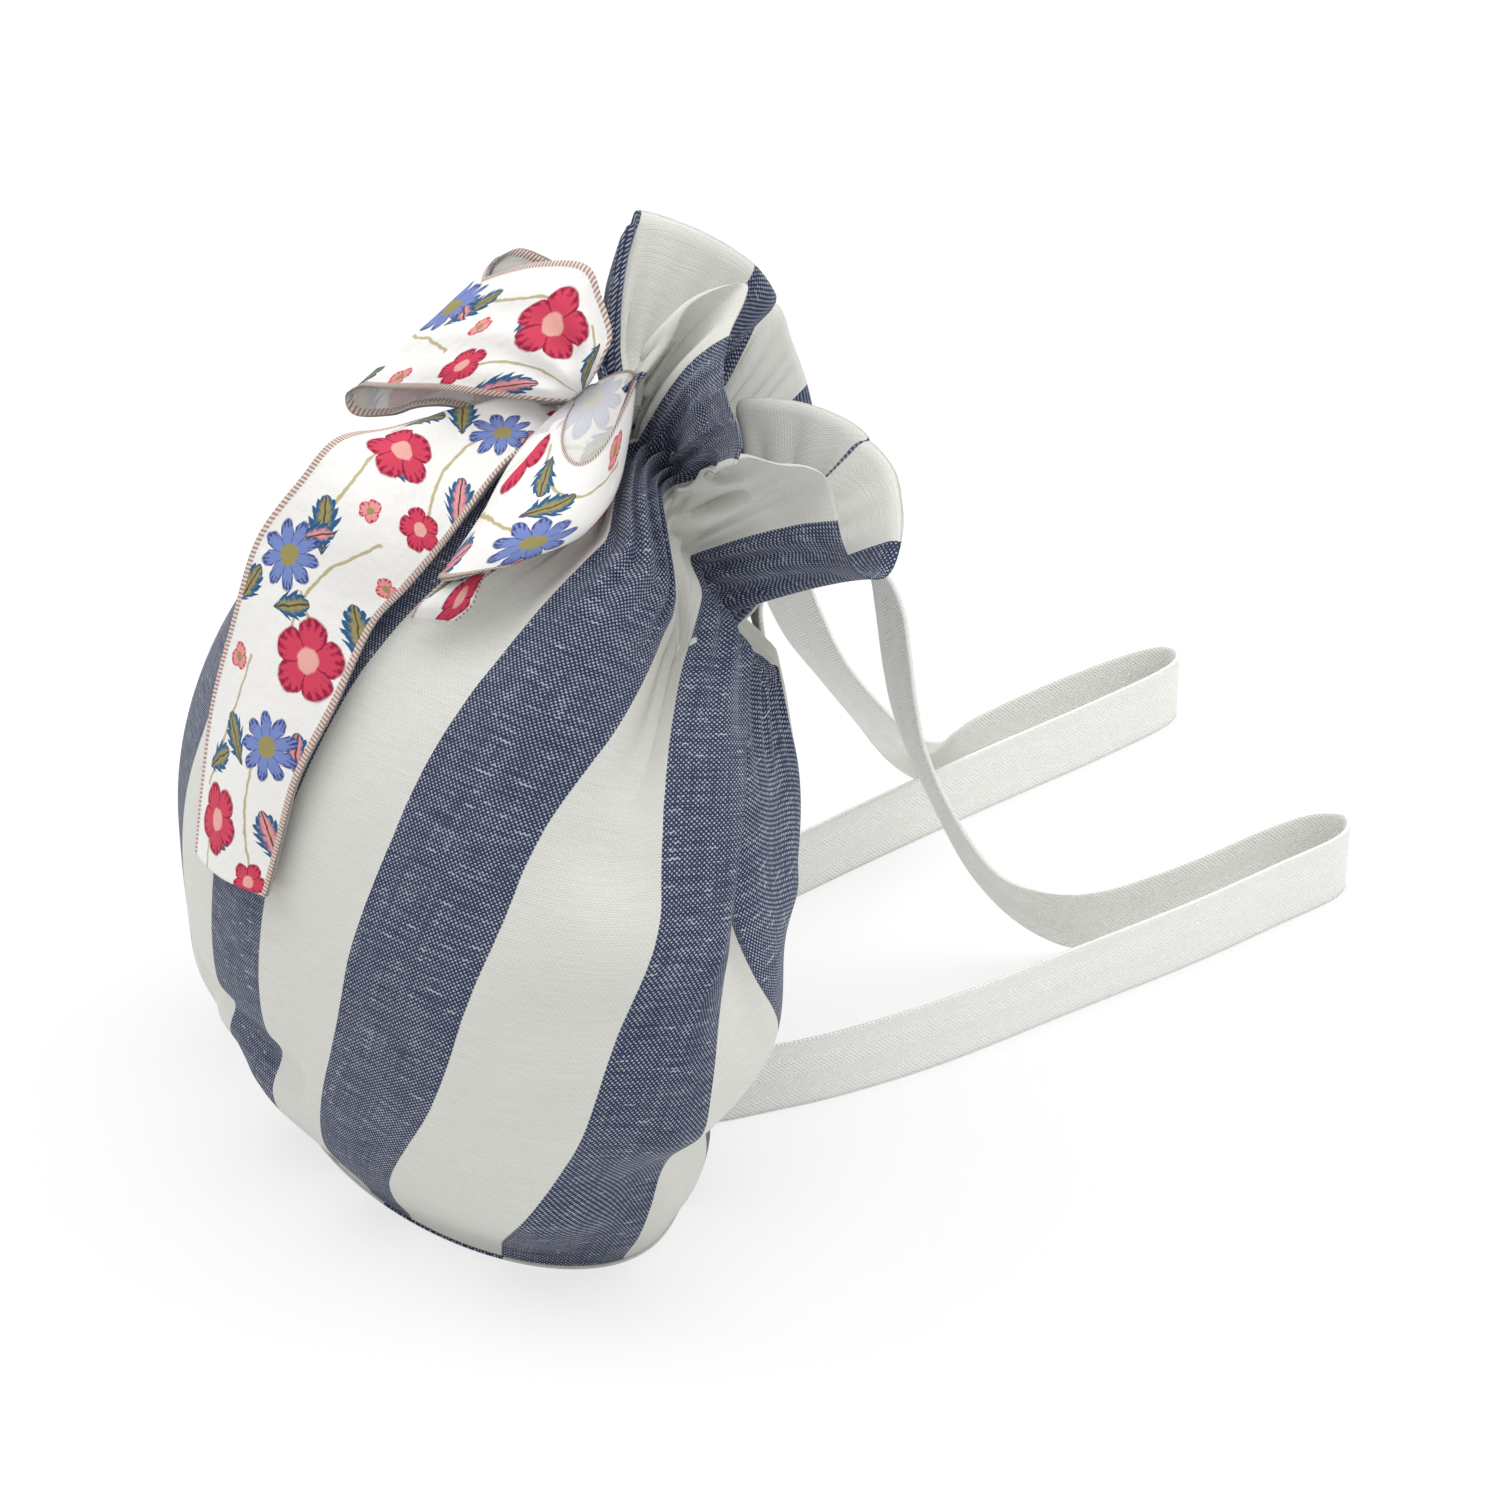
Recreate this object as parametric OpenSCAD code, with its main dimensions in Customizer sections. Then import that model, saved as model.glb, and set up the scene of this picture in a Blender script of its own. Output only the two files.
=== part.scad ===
// Drawstring backpack of striped cloth, standing on its oval base with the gathered neck leaning back.
// Origin: middle of the base on the floor. X across the side seams, -Y front, +Y back, Z up.

/* [Body] */
// Width of the belly across the side seams
belly_width = 244; // [200:1:290]
// Depth of the belly from front to back
belly_depth = 150; // [120:1:180]
// Height of the middle of the gathered neck
neck_height = 197; // [165:1:235]
// Distance of the neck behind the middle of the base
neck_back = 82; // [60:1:100]
// Mean radius of the gathered neck
neck_radius = 38; // [34:1:44]
// Depth of the neck gathers
pleat_depth = 4.2; // [2:0.1:5]
// Thickness of the striped cloth
cloth = 1.2; // [0.8:0.1:1.6]

/* [Base] */
// Width of the oval base panel
base_width = 184; // [150:1:210]
// Depth of the oval base panel
base_depth = 110; // [90:1:135]
// Thickness of the base panel
base_thickness = 1.5; // [1:0.1:3]

/* [Heading] */
// Height of the frill above the drawstring
ruffle_height = 58; // [40:1:70]
// Sideways reach of the frill's petals
petal_spread = 38; // [30:1:42]
// Room in the casing for the sash
casing_gap = 3.4; // [2.4:0.1:4.2]

/* [Sash] */
// Width of the sash cloth
sash_width = 46; // [36:1:52]
// Thickness of the sash cloth
sash_cloth = 1.0; // [0.8:0.1:1.2]
// Size of the knot across
knot_size = 15; // [12:0.5:16]
// Length of the upper bow loop
loop_length = 68; // [50:1:80]

/* [Straps] */
// Width of the strap tape
strap_width = 25; // [20:1:30]
// Thickness of the strap tape
strap_cloth = 1.4; // [1:0.1:2]
// Distance from the middle of the base to the far end of the right strap loop
strap_reach = 318; // [260:1:380]

/* [Hidden] */

// cells round the bag, cloth units round the bag, first heading row and casing rows
cells = 80;
units = 16;
neck_tilt = 60;
neck_turn = 22;
body_rows = [0, 0.03, 0.08, 0.14, 0.2, 0.28, 0.36, 0.44, 0.52, 0.6, 0.68, 0.75, 0.81, 0.86, 0.905,
             0.945, 0.972, 1];
head_rows = [0.1, 0.22, 0.36, 0.5, 0.66, 0.82, 1];
body_count = len(body_rows);
row_count = body_count + len(head_rows);
neck_row = body_count - 1;
casing_low = neck_row - 2;
casing_high = neck_row + 2;
slot_from = 53;
slot_to = 57;
knot_unit = 11;

// cloth ridges of the frill in units round the bag, and a running count of ridges for each
ridge_count = [[-0.4, 0], [1.8, 1], [4, 2], [6.2, 3], [8.4, 4], [10.7, 5], [13.4, 6], [15.6, 7], [17.8, 8]];
// sideways cloth taken up by the crease behind the right side seam
crease_shift = [[0, 0.1], [0.9, -0.55], [4, -0.3], [8, 0], [15.6, 0.36], [16, 0.1]];

// half width and half depth a share of the way from the base panel to the belly
function from_base(share) = (base_width + share * (belly_width - base_width)) / belly_width;
function from_base_deep(share) = (base_depth + share * (belly_depth - base_depth)) / belly_depth;
// one row per station: height fraction, sideways, back, up, tilt, half width, half depth, turn
stations = [
  [0, 0, 0, 0, 0, base_width / 2, base_depth / 2, 0],
  [0.08, -2, 0, 0.064, 0.017, from_base(0.268), from_base_deep(0.25), 0.09],
  [0.2, -4, 0.012, 0.197, 0.05, from_base(0.7), from_base_deep(0.65), 0.18],
  [0.36, -5, 0.049, 0.381, 0.117, 1, 0.987, 0.36],
  [0.52, -5, 0.134, 0.565, 0.25, 0.984, 1, 0.55],
  [0.68, -4, 0.317, 0.734, 0.45, 0.869, 0.947, 0.73],
  [0.82, -1, 0.573, 0.867, 0.683, 0.689, 0.827, 0.86],
  [0.93, 2, 0.829, 0.954, 0.883, 0.467, 0.653, 0.95],
  [1, 4, 1, 1, 1, neck_radius + 1, neck_radius, 1]];
last = len(stations) - 1;

function clamp01(v) = max(0, min(1, v));
function unit(v) = v / max(norm(v), 0.000001);
function soft(v) = v * v * (3 - 2 * v);
function real_station(k) = let (s = stations[k])
  [s[0], s[1], s[2] * neck_back, base_thickness + s[3] * (neck_height - base_thickness), s[4] * neck_tilt,
   (k == 0 || k == last) ? s[5] : s[5] * belly_width / 2,
   (k == 0 || k == last) ? s[6] : s[6] * belly_depth / 2, s[7] * neck_turn];
table = [for (k = [0 : last]) real_station(k)];
function slope(k) = let (a = max(k - 1, 0), b = min(k + 1, last)) (table[b] - table[a]) / (table[b][0] - table[a][0]);
function find(t, k = 0) = (k >= last - 1 || t < table[k + 1][0]) ? k : find(t, k + 1);
function station(t) = let (k = find(t), d = table[k + 1][0] - table[k][0], h = (t - table[k][0]) / d)
  table[k] * (2 * pow(h, 3) - 3 * h * h + 1) + slope(k) * d * (pow(h, 3) - 2 * h * h + h)
  + table[k + 1] * (3 * h * h - 2 * pow(h, 3)) + slope(k + 1) * d * (pow(h, 3) - h * h);

// a level direction turned with the leaning ring
function lean(x, y, tilt, turn) = let (along = x * sin(turn) + y * cos(turn))
  [x - along * sin(turn) + along * cos(tilt) * sin(turn), y - along * cos(turn) + along * cos(tilt) * cos(turn),
   -along * sin(tilt)];
function ring_normal(tilt, turn) = [sin(tilt) * sin(turn), sin(tilt) * cos(turn), cos(tilt)];

function wrap(u) = u - units * floor(u / units);
function lobe(u) = cos(360 * lookup(wrap(u), ridge_count));
function gather(u, t) = u + soft(clamp01((t - 0.36) / 0.3)) * lookup(wrap(u), crease_shift);
function ring_angle(u) = 360 * u / units + 6.7 * sin(720 * u / units);
function crease(u, t) = let (v = wrap(u + units / 2) - units / 2)
  13 * exp(-pow((v - 0.45) / 0.5, 2)) * exp(-pow((t - 0.68) / 0.22, 2));
function body_point(u, t, gathers = 1) = let (
    s = station(t), a = ring_angle(gather(u, t)),
    r = gathers * (pow(clamp01((t - 0.55) / 0.45), 1.6) * pleat_depth * lobe(u) - crease(u, t)))
  [s[1], s[2], s[3]] + (s[5] + r) * cos(a) * lean(1, 0, s[4], s[7]) + (s[6] + r) * sin(a) * lean(0, 1, s[4], s[7]);
// petals of the frill: cloth unit; edge from the neck along the neck's x, y and axis, in frill heights;
// then how far the middle of the petal is lifted along the axis and puffed outwards
petal_keys = [
  [0.3, 0.16, -0.27, 0.99, 0.17, 0], [0.8, -0.37, -0.13, 1, 0.17, 0], [1.3, -0.36, 0.04, 0.89, 0.14, 0],
  [1.9, -0.55, -0.09, 0.97, 0.14, 0], [2.6, -0.71, -0.42, 0.71, 0.24, 0], [3.2, -0.37, -0.03, 0.76, 0.17, 0],
  [3.8, -0.07, 0.38, 0.81, 0.14, 0], [4.4, -0.13, 0.54, 0.83, 0.14, 0], [5, -0.25, 0.43, 0.83, 0.14, 0],
  [5.55, -0.17, 0.23, 0.79, 0.14, 0], [6.1, -0.39, 0.2, 0.88, 0.14, 0], [6.8, -0.41, 0.04, 0.98, 0.14, 0], [7.6, -0.47, 0.12, 0.85, 0.12, 0],
  [8.4, -0.37, 0.07, 0.9, 0.1, 0], [9.25, -0.15, 0.12, 1.03, 0.1, 0], [9.8, -0.3, -0.08, 1.01, 0.06, 0],
  [10.4, -0.63, -0.27, 0.84, 0.1, 0], [10.85, -0.77, -0.41, 0.64, 0.2, 0], [11.2, -0.53, -0.3, 0.55, 0.25, 0],
  [11.6, -0.32, -0.18, 0.65, 0.25, 0], [12, -0.32, -0.25, 0.83, 0.15, 0.1], [12.45, -0.37, -0.35, 0.92, 0.05, 0.18],
  [12.88, -0.2, -0.48, 0.75, 0.07, 0.18], [13.4, 0, -0.61, 0.57, 0.1, 0.12], [13.9, 0.13, -0.59, 0.49, 0.14, 0.06],
  [14.25, 0.07, -0.46, 0.53, 0.14, 0], [14.65, 0.22, -0.54, 0.69, 0.16, 0], [15.1, 0.48, -0.49, 0.64, 0.17, 0],
  [15.5, 0.6, -0.44, 0.62, 0.17, 0], [15.85, 0.55, -0.36, 0.78, 0.17, 0]];
petal_count = len(petal_keys);
function petal_key(k) = let (turns = floor(k / petal_count), row = petal_keys[k - turns * petal_count])
  [row[0] + turns * units, row[1], row[2], row[3], row[4], row[5]];
function petal_find(u, k = -1) = (k >= petal_count - 1 || u < petal_keys[k + 1][0]) ? k : petal_find(u, k + 1);
function petal(u) = let (v = wrap(u), k = petal_find(v), a = petal_key(k - 1), b = petal_key(k), c = petal_key(k + 1),
    d = petal_key(k + 2), h = (v - b[0]) / (c[0] - b[0]))
  b + 0.5 * h * (c - a) + h * h * (a - 2.5 * b + 2 * c - 0.5 * d) + pow(h, 3) * (1.5 * b - 1.5 * c + 0.5 * (d - a));
neck_x = lean(1, 0, neck_tilt, neck_turn);
neck_y = lean(0, 1, neck_tilt, neck_turn);
neck_axis = ring_normal(neck_tilt, neck_turn);
drawn_spread = 38;
function frill_point(u, h) = let (
    v = petal(u), a = ring_angle(gather(u, 1)), neck = body_point(u, 1), spread = petal_spread / drawn_spread,
    edge = body_point(u, 1, 0) + ruffle_height * (spread * (v[1] * neck_x + v[2] * neck_y) + v[3] * neck_axis),
    bend = neck + 0.45 * (edge - neck) + ruffle_height * (v[4] * neck_axis + v[5] * (cos(a) * neck_x + sin(a) * neck_y)))
  neck * pow(1 - h, 2) + bend * 2 * h * (1 - h) + edge * h * h;

function cell_unit(i) = i * units / cells;
function cloth_point(i, j) = j < body_count ? body_point(cell_unit(i), body_rows[j])
  : frill_point(cell_unit(i), head_rows[j - body_count]);
mid = [for (i = [0 : cells - 1]) [for (j = [0 : row_count - 1]) cloth_point(i, j)]];
function at(i, j) = mid[(i + cells) % cells][max(0, min(row_count - 1, j))];
function cloth_normal(i, j) = j == 0 ? unit(cross(at(i + 1, 0) - at(i - 1, 0), [0, 0, 1]))
  : unit(cross(at(i + 1, j) - at(i - 1, j), at(i, j + 1) - at(i, j - 1)));
out_dir = [for (i = [0 : cells - 1]) [for (j = [0 : row_count - 1]) cloth_normal(i, j)]];
function lifted(i, j, d) = at(i, j) + d * out_dir[i % cells][j];

// faces of a sheet of ni by nj points, outer points first and inner points after, with one slot left open
function pick(nj, i, j) = i * nj + j;
function in_slot(i, j, s) = i >= s[0] && i < s[1] && j >= s[2] && j < s[3];
function two(a, b, c, d) = [[a, b, c], [a, c, d]];
function low_wall(n, nj, i, j) = two(pick(nj, i, j), pick(nj, i + 1, j), n + pick(nj, i + 1, j), n + pick(nj, i, j));
function top_wall(n, nj, i, j) = two(pick(nj, i + 1, j), pick(nj, i, j), n + pick(nj, i, j), n + pick(nj, i + 1, j));
function left_wall(n, nj, i, j) = two(pick(nj, i, j + 1), pick(nj, i, j), n + pick(nj, i, j), n + pick(nj, i, j + 1));
function right_wall(n, nj, i, j) = two(pick(nj, i, j), pick(nj, i, j + 1), n + pick(nj, i, j + 1), n + pick(nj, i, j));
function sheet_faces(ni, nj, s) = let (n = ni * nj) [
  for (i = [0 : ni - 2], j = [0 : nj - 2]) if (!in_slot(i, j, s))
    each concat(two(pick(nj, i, j), pick(nj, i, j + 1), pick(nj, i + 1, j + 1), pick(nj, i + 1, j)),
      two(n + pick(nj, i, j), n + pick(nj, i + 1, j), n + pick(nj, i + 1, j + 1), n + pick(nj, i, j + 1))),
  for (i = [0 : ni - 2]) each concat(low_wall(n, nj, i, 0), top_wall(n, nj, i, nj - 1)),
  for (j = [0 : nj - 2]) each concat(left_wall(n, nj, 0, j), right_wall(n, nj, ni - 1, j)),
  for (i = [s[0] : 1 : s[1] - 1]) each concat(top_wall(n, nj, i, s[2]), low_wall(n, nj, i, s[3])),
  for (j = [s[2] : 1 : s[3] - 1]) each concat(right_wall(n, nj, s[0], j), left_wall(n, nj, s[1], j))];
no_slot = [0, 0, 0, 0];

// a patch of the bag's cloth between two lifts above its middle surface
module patch(i0, i1, j0, j1, outer, inner, s = no_slot) {
  ni = i1 - i0 + 1;
  nj = j1 - j0 + 1;
  polyhedron(points = concat(
      [for (i = [i0 : i1], j = [j0 : j1]) lifted(i, j, outer[j])],
      [for (i = [i0 : i1], j = [j0 : j1]) lifted(i, j, inner[j])]),
    faces = sheet_faces(ni, nj, s));
}

// casing room between the panel and its facing, row by row
gap = [for (j = [0 : row_count - 1]) (j > casing_low && j < casing_high) ? casing_gap : 0];
panel_out = [for (j = [0 : row_count - 1]) cloth / 2];
panel_in = -panel_out;
facing_out = panel_in - gap;
facing_in = [for (j = [0 : row_count - 1]) facing_out[j] - cloth];
tack_out = [for (j = [0 : row_count - 1]) cloth / 2 + strap_cloth];

module front_panel() {
  slot = [slot_from - cells / 2, slot_to - cells / 2, neck_row - 1, neck_row + 1];
  color([0.33, 0.38, 0.55]) patch(cells / 2, cells, 0, row_count - 1, panel_out, panel_in, slot);
}

module back_panel() {
  color([0.33, 0.38, 0.55]) patch(0, cells / 2, 0, row_count - 1, panel_out, panel_in);
}

module base_panel() {
  color([0.33, 0.38, 0.55]) linear_extrude(base_thickness)
    polygon([for (i = [0 : cells - 1]) [lifted(i, 0, cloth / 2)[0], lifted(i, 0, cloth / 2)[1]]]);
}

module front_facing() {
  color([0.89, 0.89, 0.87]) patch(cells / 2, cells, casing_low, row_count - 1, facing_out, facing_in);
}

module back_facing() {
  color([0.89, 0.89, 0.87]) patch(0, cells / 2, casing_low, row_count - 1, facing_out, facing_in);
}

// the sash inside its casing, a full ring
module sash_band() {
  rows = [neck_row - 1, neck_row, neck_row + 1];
  nj = 3;
  n = cells * nj;
  points = concat([for (i = [0 : cells - 1], j = rows) lifted(i, j, panel_in[j])],
                  [for (i = [0 : cells - 1], j = rows) lifted(i, j, facing_out[j])]);
  function next(i) = (i + 1) % cells;
  faces = [for (i = [0 : cells - 1]) each concat(
    [for (j = [0 : nj - 2]) each concat(
      two(pick(nj, i, j), pick(nj, i, j + 1), pick(nj, next(i), j + 1), pick(nj, next(i), j)),
      two(n + pick(nj, i, j), n + pick(nj, next(i), j), n + pick(nj, next(i), j + 1), n + pick(nj, i, j + 1)))],
    two(pick(nj, i, 0), pick(nj, next(i), 0), n + pick(nj, next(i), 0), n + pick(nj, i, 0)),
    two(pick(nj, next(i), nj - 1), pick(nj, i, nj - 1), n + pick(nj, i, nj - 1), n + pick(nj, next(i), nj - 1)))];
  color([0.93, 0.92, 0.91]) polyhedron(points = points, faces = faces);
}

// frame of the knot: where it leaves the slot, outwards, along the neck and up the neck
knot_cell = knot_unit * cells / units;
knot_angle = ring_angle(gather(knot_unit, 1));
knot_rise = neck_axis - 0.202 * (cos(knot_angle) * neck_x + sin(knot_angle) * neck_y);
knot_along = unit(at(knot_cell + 1, neck_row) - at(knot_cell - 1, neck_row));
knot_out = unit(cross(knot_along, knot_rise));
knot_up = unit(cross(knot_out, knot_along));
knot_side = cross(knot_up, knot_out);
knot_root = at(knot_cell, neck_row);

// distance from the neck cloth and half size of the knot at each section
knot_sections = [[0.8 - cloth / 2, 0.14], [cloth / 2 + 0.6, 0.14], [cloth / 2 + 1.6, 0.2], [4.2, 0.36], [6, 0.45],
                 [9, 0.5], [12, 0.5], [15.5, 0.46], [18, 0.36], [19.4, 0.2]];
module bow_knot() {
  around = 24;
  rings = len(knot_sections);
  function blunt(v) = sign(v) * pow(abs(v), 0.75);
  points = [for (k = [0 : rings - 1], a = [0 : around - 1]) knot_root + knot_sections[k][0] * knot_out
    + knot_size * knot_sections[k][1] * (blunt(cos(360 * a / around)) * knot_side
    + blunt(sin(360 * a / around)) * knot_up)];
  function next(a) = (a + 1) % around;
  faces = concat(
    [for (k = [0 : rings - 2], a = [0 : around - 1])
      each two(k * around + a, (k + 1) * around + a, (k + 1) * around + next(a), k * around + next(a))],
    [[for (a = [0 : around - 1]) a]],
    [[for (a = [around - 1 : -1 : 0]) (rings - 1) * around + a]]);
  color([0.93, 0.92, 0.91]) polyhedron(points = points, faces = faces);
}

// a smooth row of values through a list of keys
function through(keys, steps) = let (n = len(keys) - 1) [for (k = [0 : n - 1], s = [0 : steps - 1])
    let (h = s / steps, a = keys[max(k - 1, 0)], b = keys[k], c = keys[k + 1], d = keys[min(k + 2, n)])
    b + 0.5 * h * (c - a) + h * h * (a - 2.5 * b + 2 * c - 0.5 * d) + pow(h, 3) * (1.5 * b - 1.5 * c + 0.5 * (d - a)),
    keys[n]];

// a strip of cloth from rows of middle points, given its thickness
function strip_normal(g, i, j) = let (ni = len(g) - 1, nj = len(g[0]) - 1)
  unit(cross(g[min(i + 1, ni)][j] - g[max(i - 1, 0)][j], g[i][min(j + 1, nj)] - g[i][max(j - 1, 0)]));
module strip(g, thick) {
  ni = len(g);
  nj = len(g[0]);
  polyhedron(points = concat(
      [for (i = [0 : ni - 1], j = [0 : nj - 1]) g[i][j] + thick / 2 * strip_normal(g, i, j)],
      [for (i = [0 : ni - 1], j = [0 : nj - 1]) g[i][j] - thick / 2 * strip_normal(g, i, j)]),
    faces = sheet_faces(ni, nj, no_slot));
}

// a point lying above the smooth body at a given lift
function body_out(u, t) = unit(cross(body_point(u + 0.1, t, 0) - body_point(u - 0.1, t, 0),
                                     body_point(u, t + 0.01, 0) - body_point(u, t - 0.01, 0)));
function above(u, t, lift) = body_point(u, t, 0) + lift * body_out(u, t);
function unit_length(u, t) = norm(body_point(u + 0.25, t, 0) - body_point(u - 0.25, t, 0)) * 2;
// cloth units per sash width, against the drawn size
sash_spread = sash_width / 46 * (244 + 150) / (belly_width + belly_depth);
// a strip that lies on the body: keys of height fraction, unit, half width share of the sash, lift
function lying(keys, steps, across) = [for (k = through(keys, steps)) [for (s = [0 : across])
    let (u = knot_unit + sash_spread * (k[1] - knot_unit), w = (2 * s / across - 1) * k[2] * sash_width / 2)
    above(u + w / unit_length(u, k[0]), k[0], k[3])]];

tail_long_keys = [[0.972, 10.64, 0.26, 6.4], [0.945, 10.42, 0.5, 4.6], [0.9, 10.36, 0.84, 4.1], [0.84, 10.4, 0.97, 3.7],
  [0.77, 10.56, 1, 3.4], [0.7, 10.84, 1, 3.1], [0.62, 11.06, 1, 2.8], [0.54, 11.14, 1, 2.6], [0.46, 11.12, 1, 2.5],
  [0.4, 11.06, 1, 2.5]];
tail_short_keys = [[0.963, 11.5, 0.2, 7.9], [0.94, 11.8, 0.36, 7], [0.895, 12.1, 0.6, 5.8], [0.845, 12.26, 0.7, 5],
  [0.81, 12.26, 0.72, 4.4], [0.785, 12.22, 0.68, 4]];
loop_lower_keys = [[0.9638, 11.42, 0.2, 9.4], [0.942, 11.72, 0.46, 9.2], [0.908, 12.12, 0.72, 8.8],
  [0.868, 12.36, 0.8, 8.6], [0.838, 12.42, 0.8, 9.6], [0.824, 12.42, 0.8, 14.4], [0.838, 12.42, 0.78, 19.6],
  [0.868, 12.36, 0.74, 22.4], [0.908, 12.1, 0.66, 21.6], [0.942, 11.68, 0.46, 17], [0.9638, 11.42, 0.2, 12.2]];

module sash_tail_long() {
  color([0.93, 0.92, 0.91]) strip(lying(tail_long_keys, 3, 6), sash_cloth);
}

module sash_tail_short() {
  color([0.93, 0.92, 0.91]) strip(lying(tail_short_keys, 3, 4), sash_cloth);
}

module bow_loop_lower() {
  color([0.93, 0.92, 0.91]) strip(lying(loop_lower_keys, 3, 4), sash_cloth);
}

// the upper loop stands on the left shoulder: outwards, across the sash and through the loop
loop_dir = unit([-0.95, -0.25, 0.09]);
loop_wide = unit([0.22, 0.81, 0.55]);
loop_through = unit(cross(loop_dir, loop_wide));
loop_root = knot_root + 1.08 * knot_size * knot_out + (knot_size / 2 + 0.9) * loop_dir;
// share of the loop length, half gap of the loop and share of the sash width
loop_upper_keys = [[0, 1.4, 0.24], [0.16, 4, 0.5], [0.4, 7.6, 0.86], [0.7, 8.6, 0.98], [0.92, 5.6, 1], [1, 0, 1],
  [0.92, -5.6, 1], [0.7, -8.6, 0.98], [0.4, -7.6, 0.86], [0.16, -4, 0.5], [0, -1.4, 0.24]];
module bow_loop_upper() {
  across = 4;
  grid = [for (k = through(loop_upper_keys, 3)) [for (s = [0 : across]) loop_root + k[0] * loop_length * loop_dir
    + k[1] * loop_through + (2 * s / across - 1) * k[2] * sash_width / 2 * loop_wide]];
  color([0.93, 0.92, 0.91]) strip(grid, sash_cloth);
}

// straps: middle of the tape, its width direction and a share of its full width
reach = strap_reach / 318;
edge = strap_width / 2 + 0.5;
top_right_cell = 14;
top_left_cell = 26;
low_right_cell = 13;
low_left_cell = 27;
tack_half = 4;
low_half = 1;
tack_row = casing_low;
low_top_row = 3;
lead = 1.3;
low_lead = 2.2;
function tape_end(i, j, gap = lead) = lifted(i, j, cloth / 2 + strap_cloth + gap);
strap_right_keys = [
  [tape_end(top_right_cell, tack_row), [1, 0.1, 0.5], 0.14],
  [[30, 107, 158], [1, -0.1, 0.3], 0.6],
  [[38, 115, 172], [1, -0.2, 0.2], 1],
  [[44, 122, 177], [1, -0.3, 0.1], 1],
  [[46, 127, 171], [1, -0.3, 0], 1],
  [[44, 132, 156], [1, -0.3, 0], 1],
  [[41, 138, 133], [1, -0.3, 0], 1],
  [[38, 146, 108], [1, -0.3, 0], 1],
  [[36, 162, 74], [0.95, -0.3, 0.15], 1],
  [[37, 180, 42], [0.75, -0.25, 0.5], 1],
  [[42, 200, 22], [0.4, -0.15, 0.9], 1],
  [[48, 222, edge], [0.1, 0, 1], 1],
  [[54, 256 * reach, edge], [0, 0, 1], 1],
  [[55, 290 * reach, edge], [0, 0, 1], 1],
  [[58, strap_reach - 9, edge], [0, 0, 1], 1],
  [[66, strap_reach, edge], [0, 0, 1], 1],
  [[74, strap_reach - 10, edge], [0, 0, 1], 1],
  [[74, 280 * reach, edge], [0, 0, 1], 1],
  [[73, 240 * reach, edge], [0, 0, 1], 1],
  [[69, 190, edge], [0, 0, 1], 1],
  [[65, 140, edge], [0, 0, 1], 1],
  [[58, 102, edge], [0, 0, 1], 1],
  [[50, 76, edge], [0, 0, 1], 0.8],
  [tape_end(low_right_cell, 2, low_lead), [0, 0, 1], 0.3]];
strap_left_keys = [
  [tape_end(top_left_cell, tack_row), [1, 0.1, -0.3], 0.14],
  [[-20, 124, 162], [1, 0.1, -0.1], 0.7],
  [[-23, 137, 152], [1, 0.15, 0], 1],
  [[-25, 146, 132], [1, 0.2, 0], 1],
  [[-27, 158, 108], [1, 0.2, 0], 1],
  [[-30, 175, 84], [1, 0.2, 0], 1],
  [[-36, 196, 58], [0.95, 0.2, 0.15], 1],
  [[-46, 219, 34], [0.7, 0.2, 0.6], 1],
  [[-56, 240, 19], [0.3, 0.1, 0.95], 1],
  [[-62, 262 * reach, edge], [0, 0, 1], 1],
  [[-63, 300 * reach, edge], [0, 0, 1], 1],
  [[-60, strap_reach + 20, edge], [0, 0, 1], 1],
  [[-53, strap_reach + 30, edge], [0, 0, 1], 1],
  [[-45, strap_reach + 20, edge], [0, 0, 1], 1],
  [[-43, 300 * reach, edge], [0, 0, 1], 1],
  [[-43, 250 * reach, edge], [0, 0, 1], 1],
  [[-42, 200, edge], [0, 0, 1], 1],
  [[-40, 150, edge], [0, 0, 1], 1],
  [[-39, 106, edge], [0, 0, 1], 1],
  [[-38, 78, edge], [0, 0, 1], 0.8],
  [tape_end(low_left_cell, 2, low_lead), [0, 0, 1], 0.3]];
function tape(keys, steps, across) = let (
    line = through([for (k = keys) k[0]], steps), wide = through([for (k = keys) unit(k[1])], steps),
    share = through([for (k = keys) [k[2], 0, 0]], steps))
  [for (i = [0 : len(line) - 1]) [for (s = [0 : across])
    line[i] + (2 * s / across - 1) * share[i][0] * strap_width / 2 * unit(wide[i])]];

module strap_right() {
  color([0.92, 0.92, 0.89]) strip(tape(strap_right_keys, 3, 2), strap_cloth);
}

module strap_left() {
  color([0.92, 0.92, 0.89]) strip(tape(strap_left_keys, 3, 2), strap_cloth);
}

// the sewn ends of the tape, flat on the back panel
module strap_right_top_tack() {
  color([0.92, 0.92, 0.89])
    patch(top_right_cell - tack_half, top_right_cell + tack_half, tack_row - 1, tack_row + 1, tack_out, panel_out);
}

module strap_left_top_tack() {
  color([0.92, 0.92, 0.89])
    patch(top_left_cell - tack_half, top_left_cell + tack_half, tack_row - 1, tack_row + 1, tack_out, panel_out);
}

module strap_right_low_tack() {
  color([0.92, 0.92, 0.89])
    patch(low_right_cell - low_half, low_right_cell + low_half, 0, low_top_row, tack_out, panel_out);
}

module strap_left_low_tack() {
  color([0.92, 0.92, 0.89])
    patch(low_left_cell - low_half, low_left_cell + low_half, 0, low_top_row, tack_out, panel_out);
}

front_panel();
back_panel();
base_panel();
front_facing();
back_facing();
sash_band();
bow_knot();
bow_loop_upper();
bow_loop_lower();
sash_tail_long();
sash_tail_short();
strap_right();
strap_left();
strap_right_top_tack();
strap_left_top_tack();
strap_right_low_tack();
strap_left_low_tack();
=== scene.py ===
import math

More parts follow.
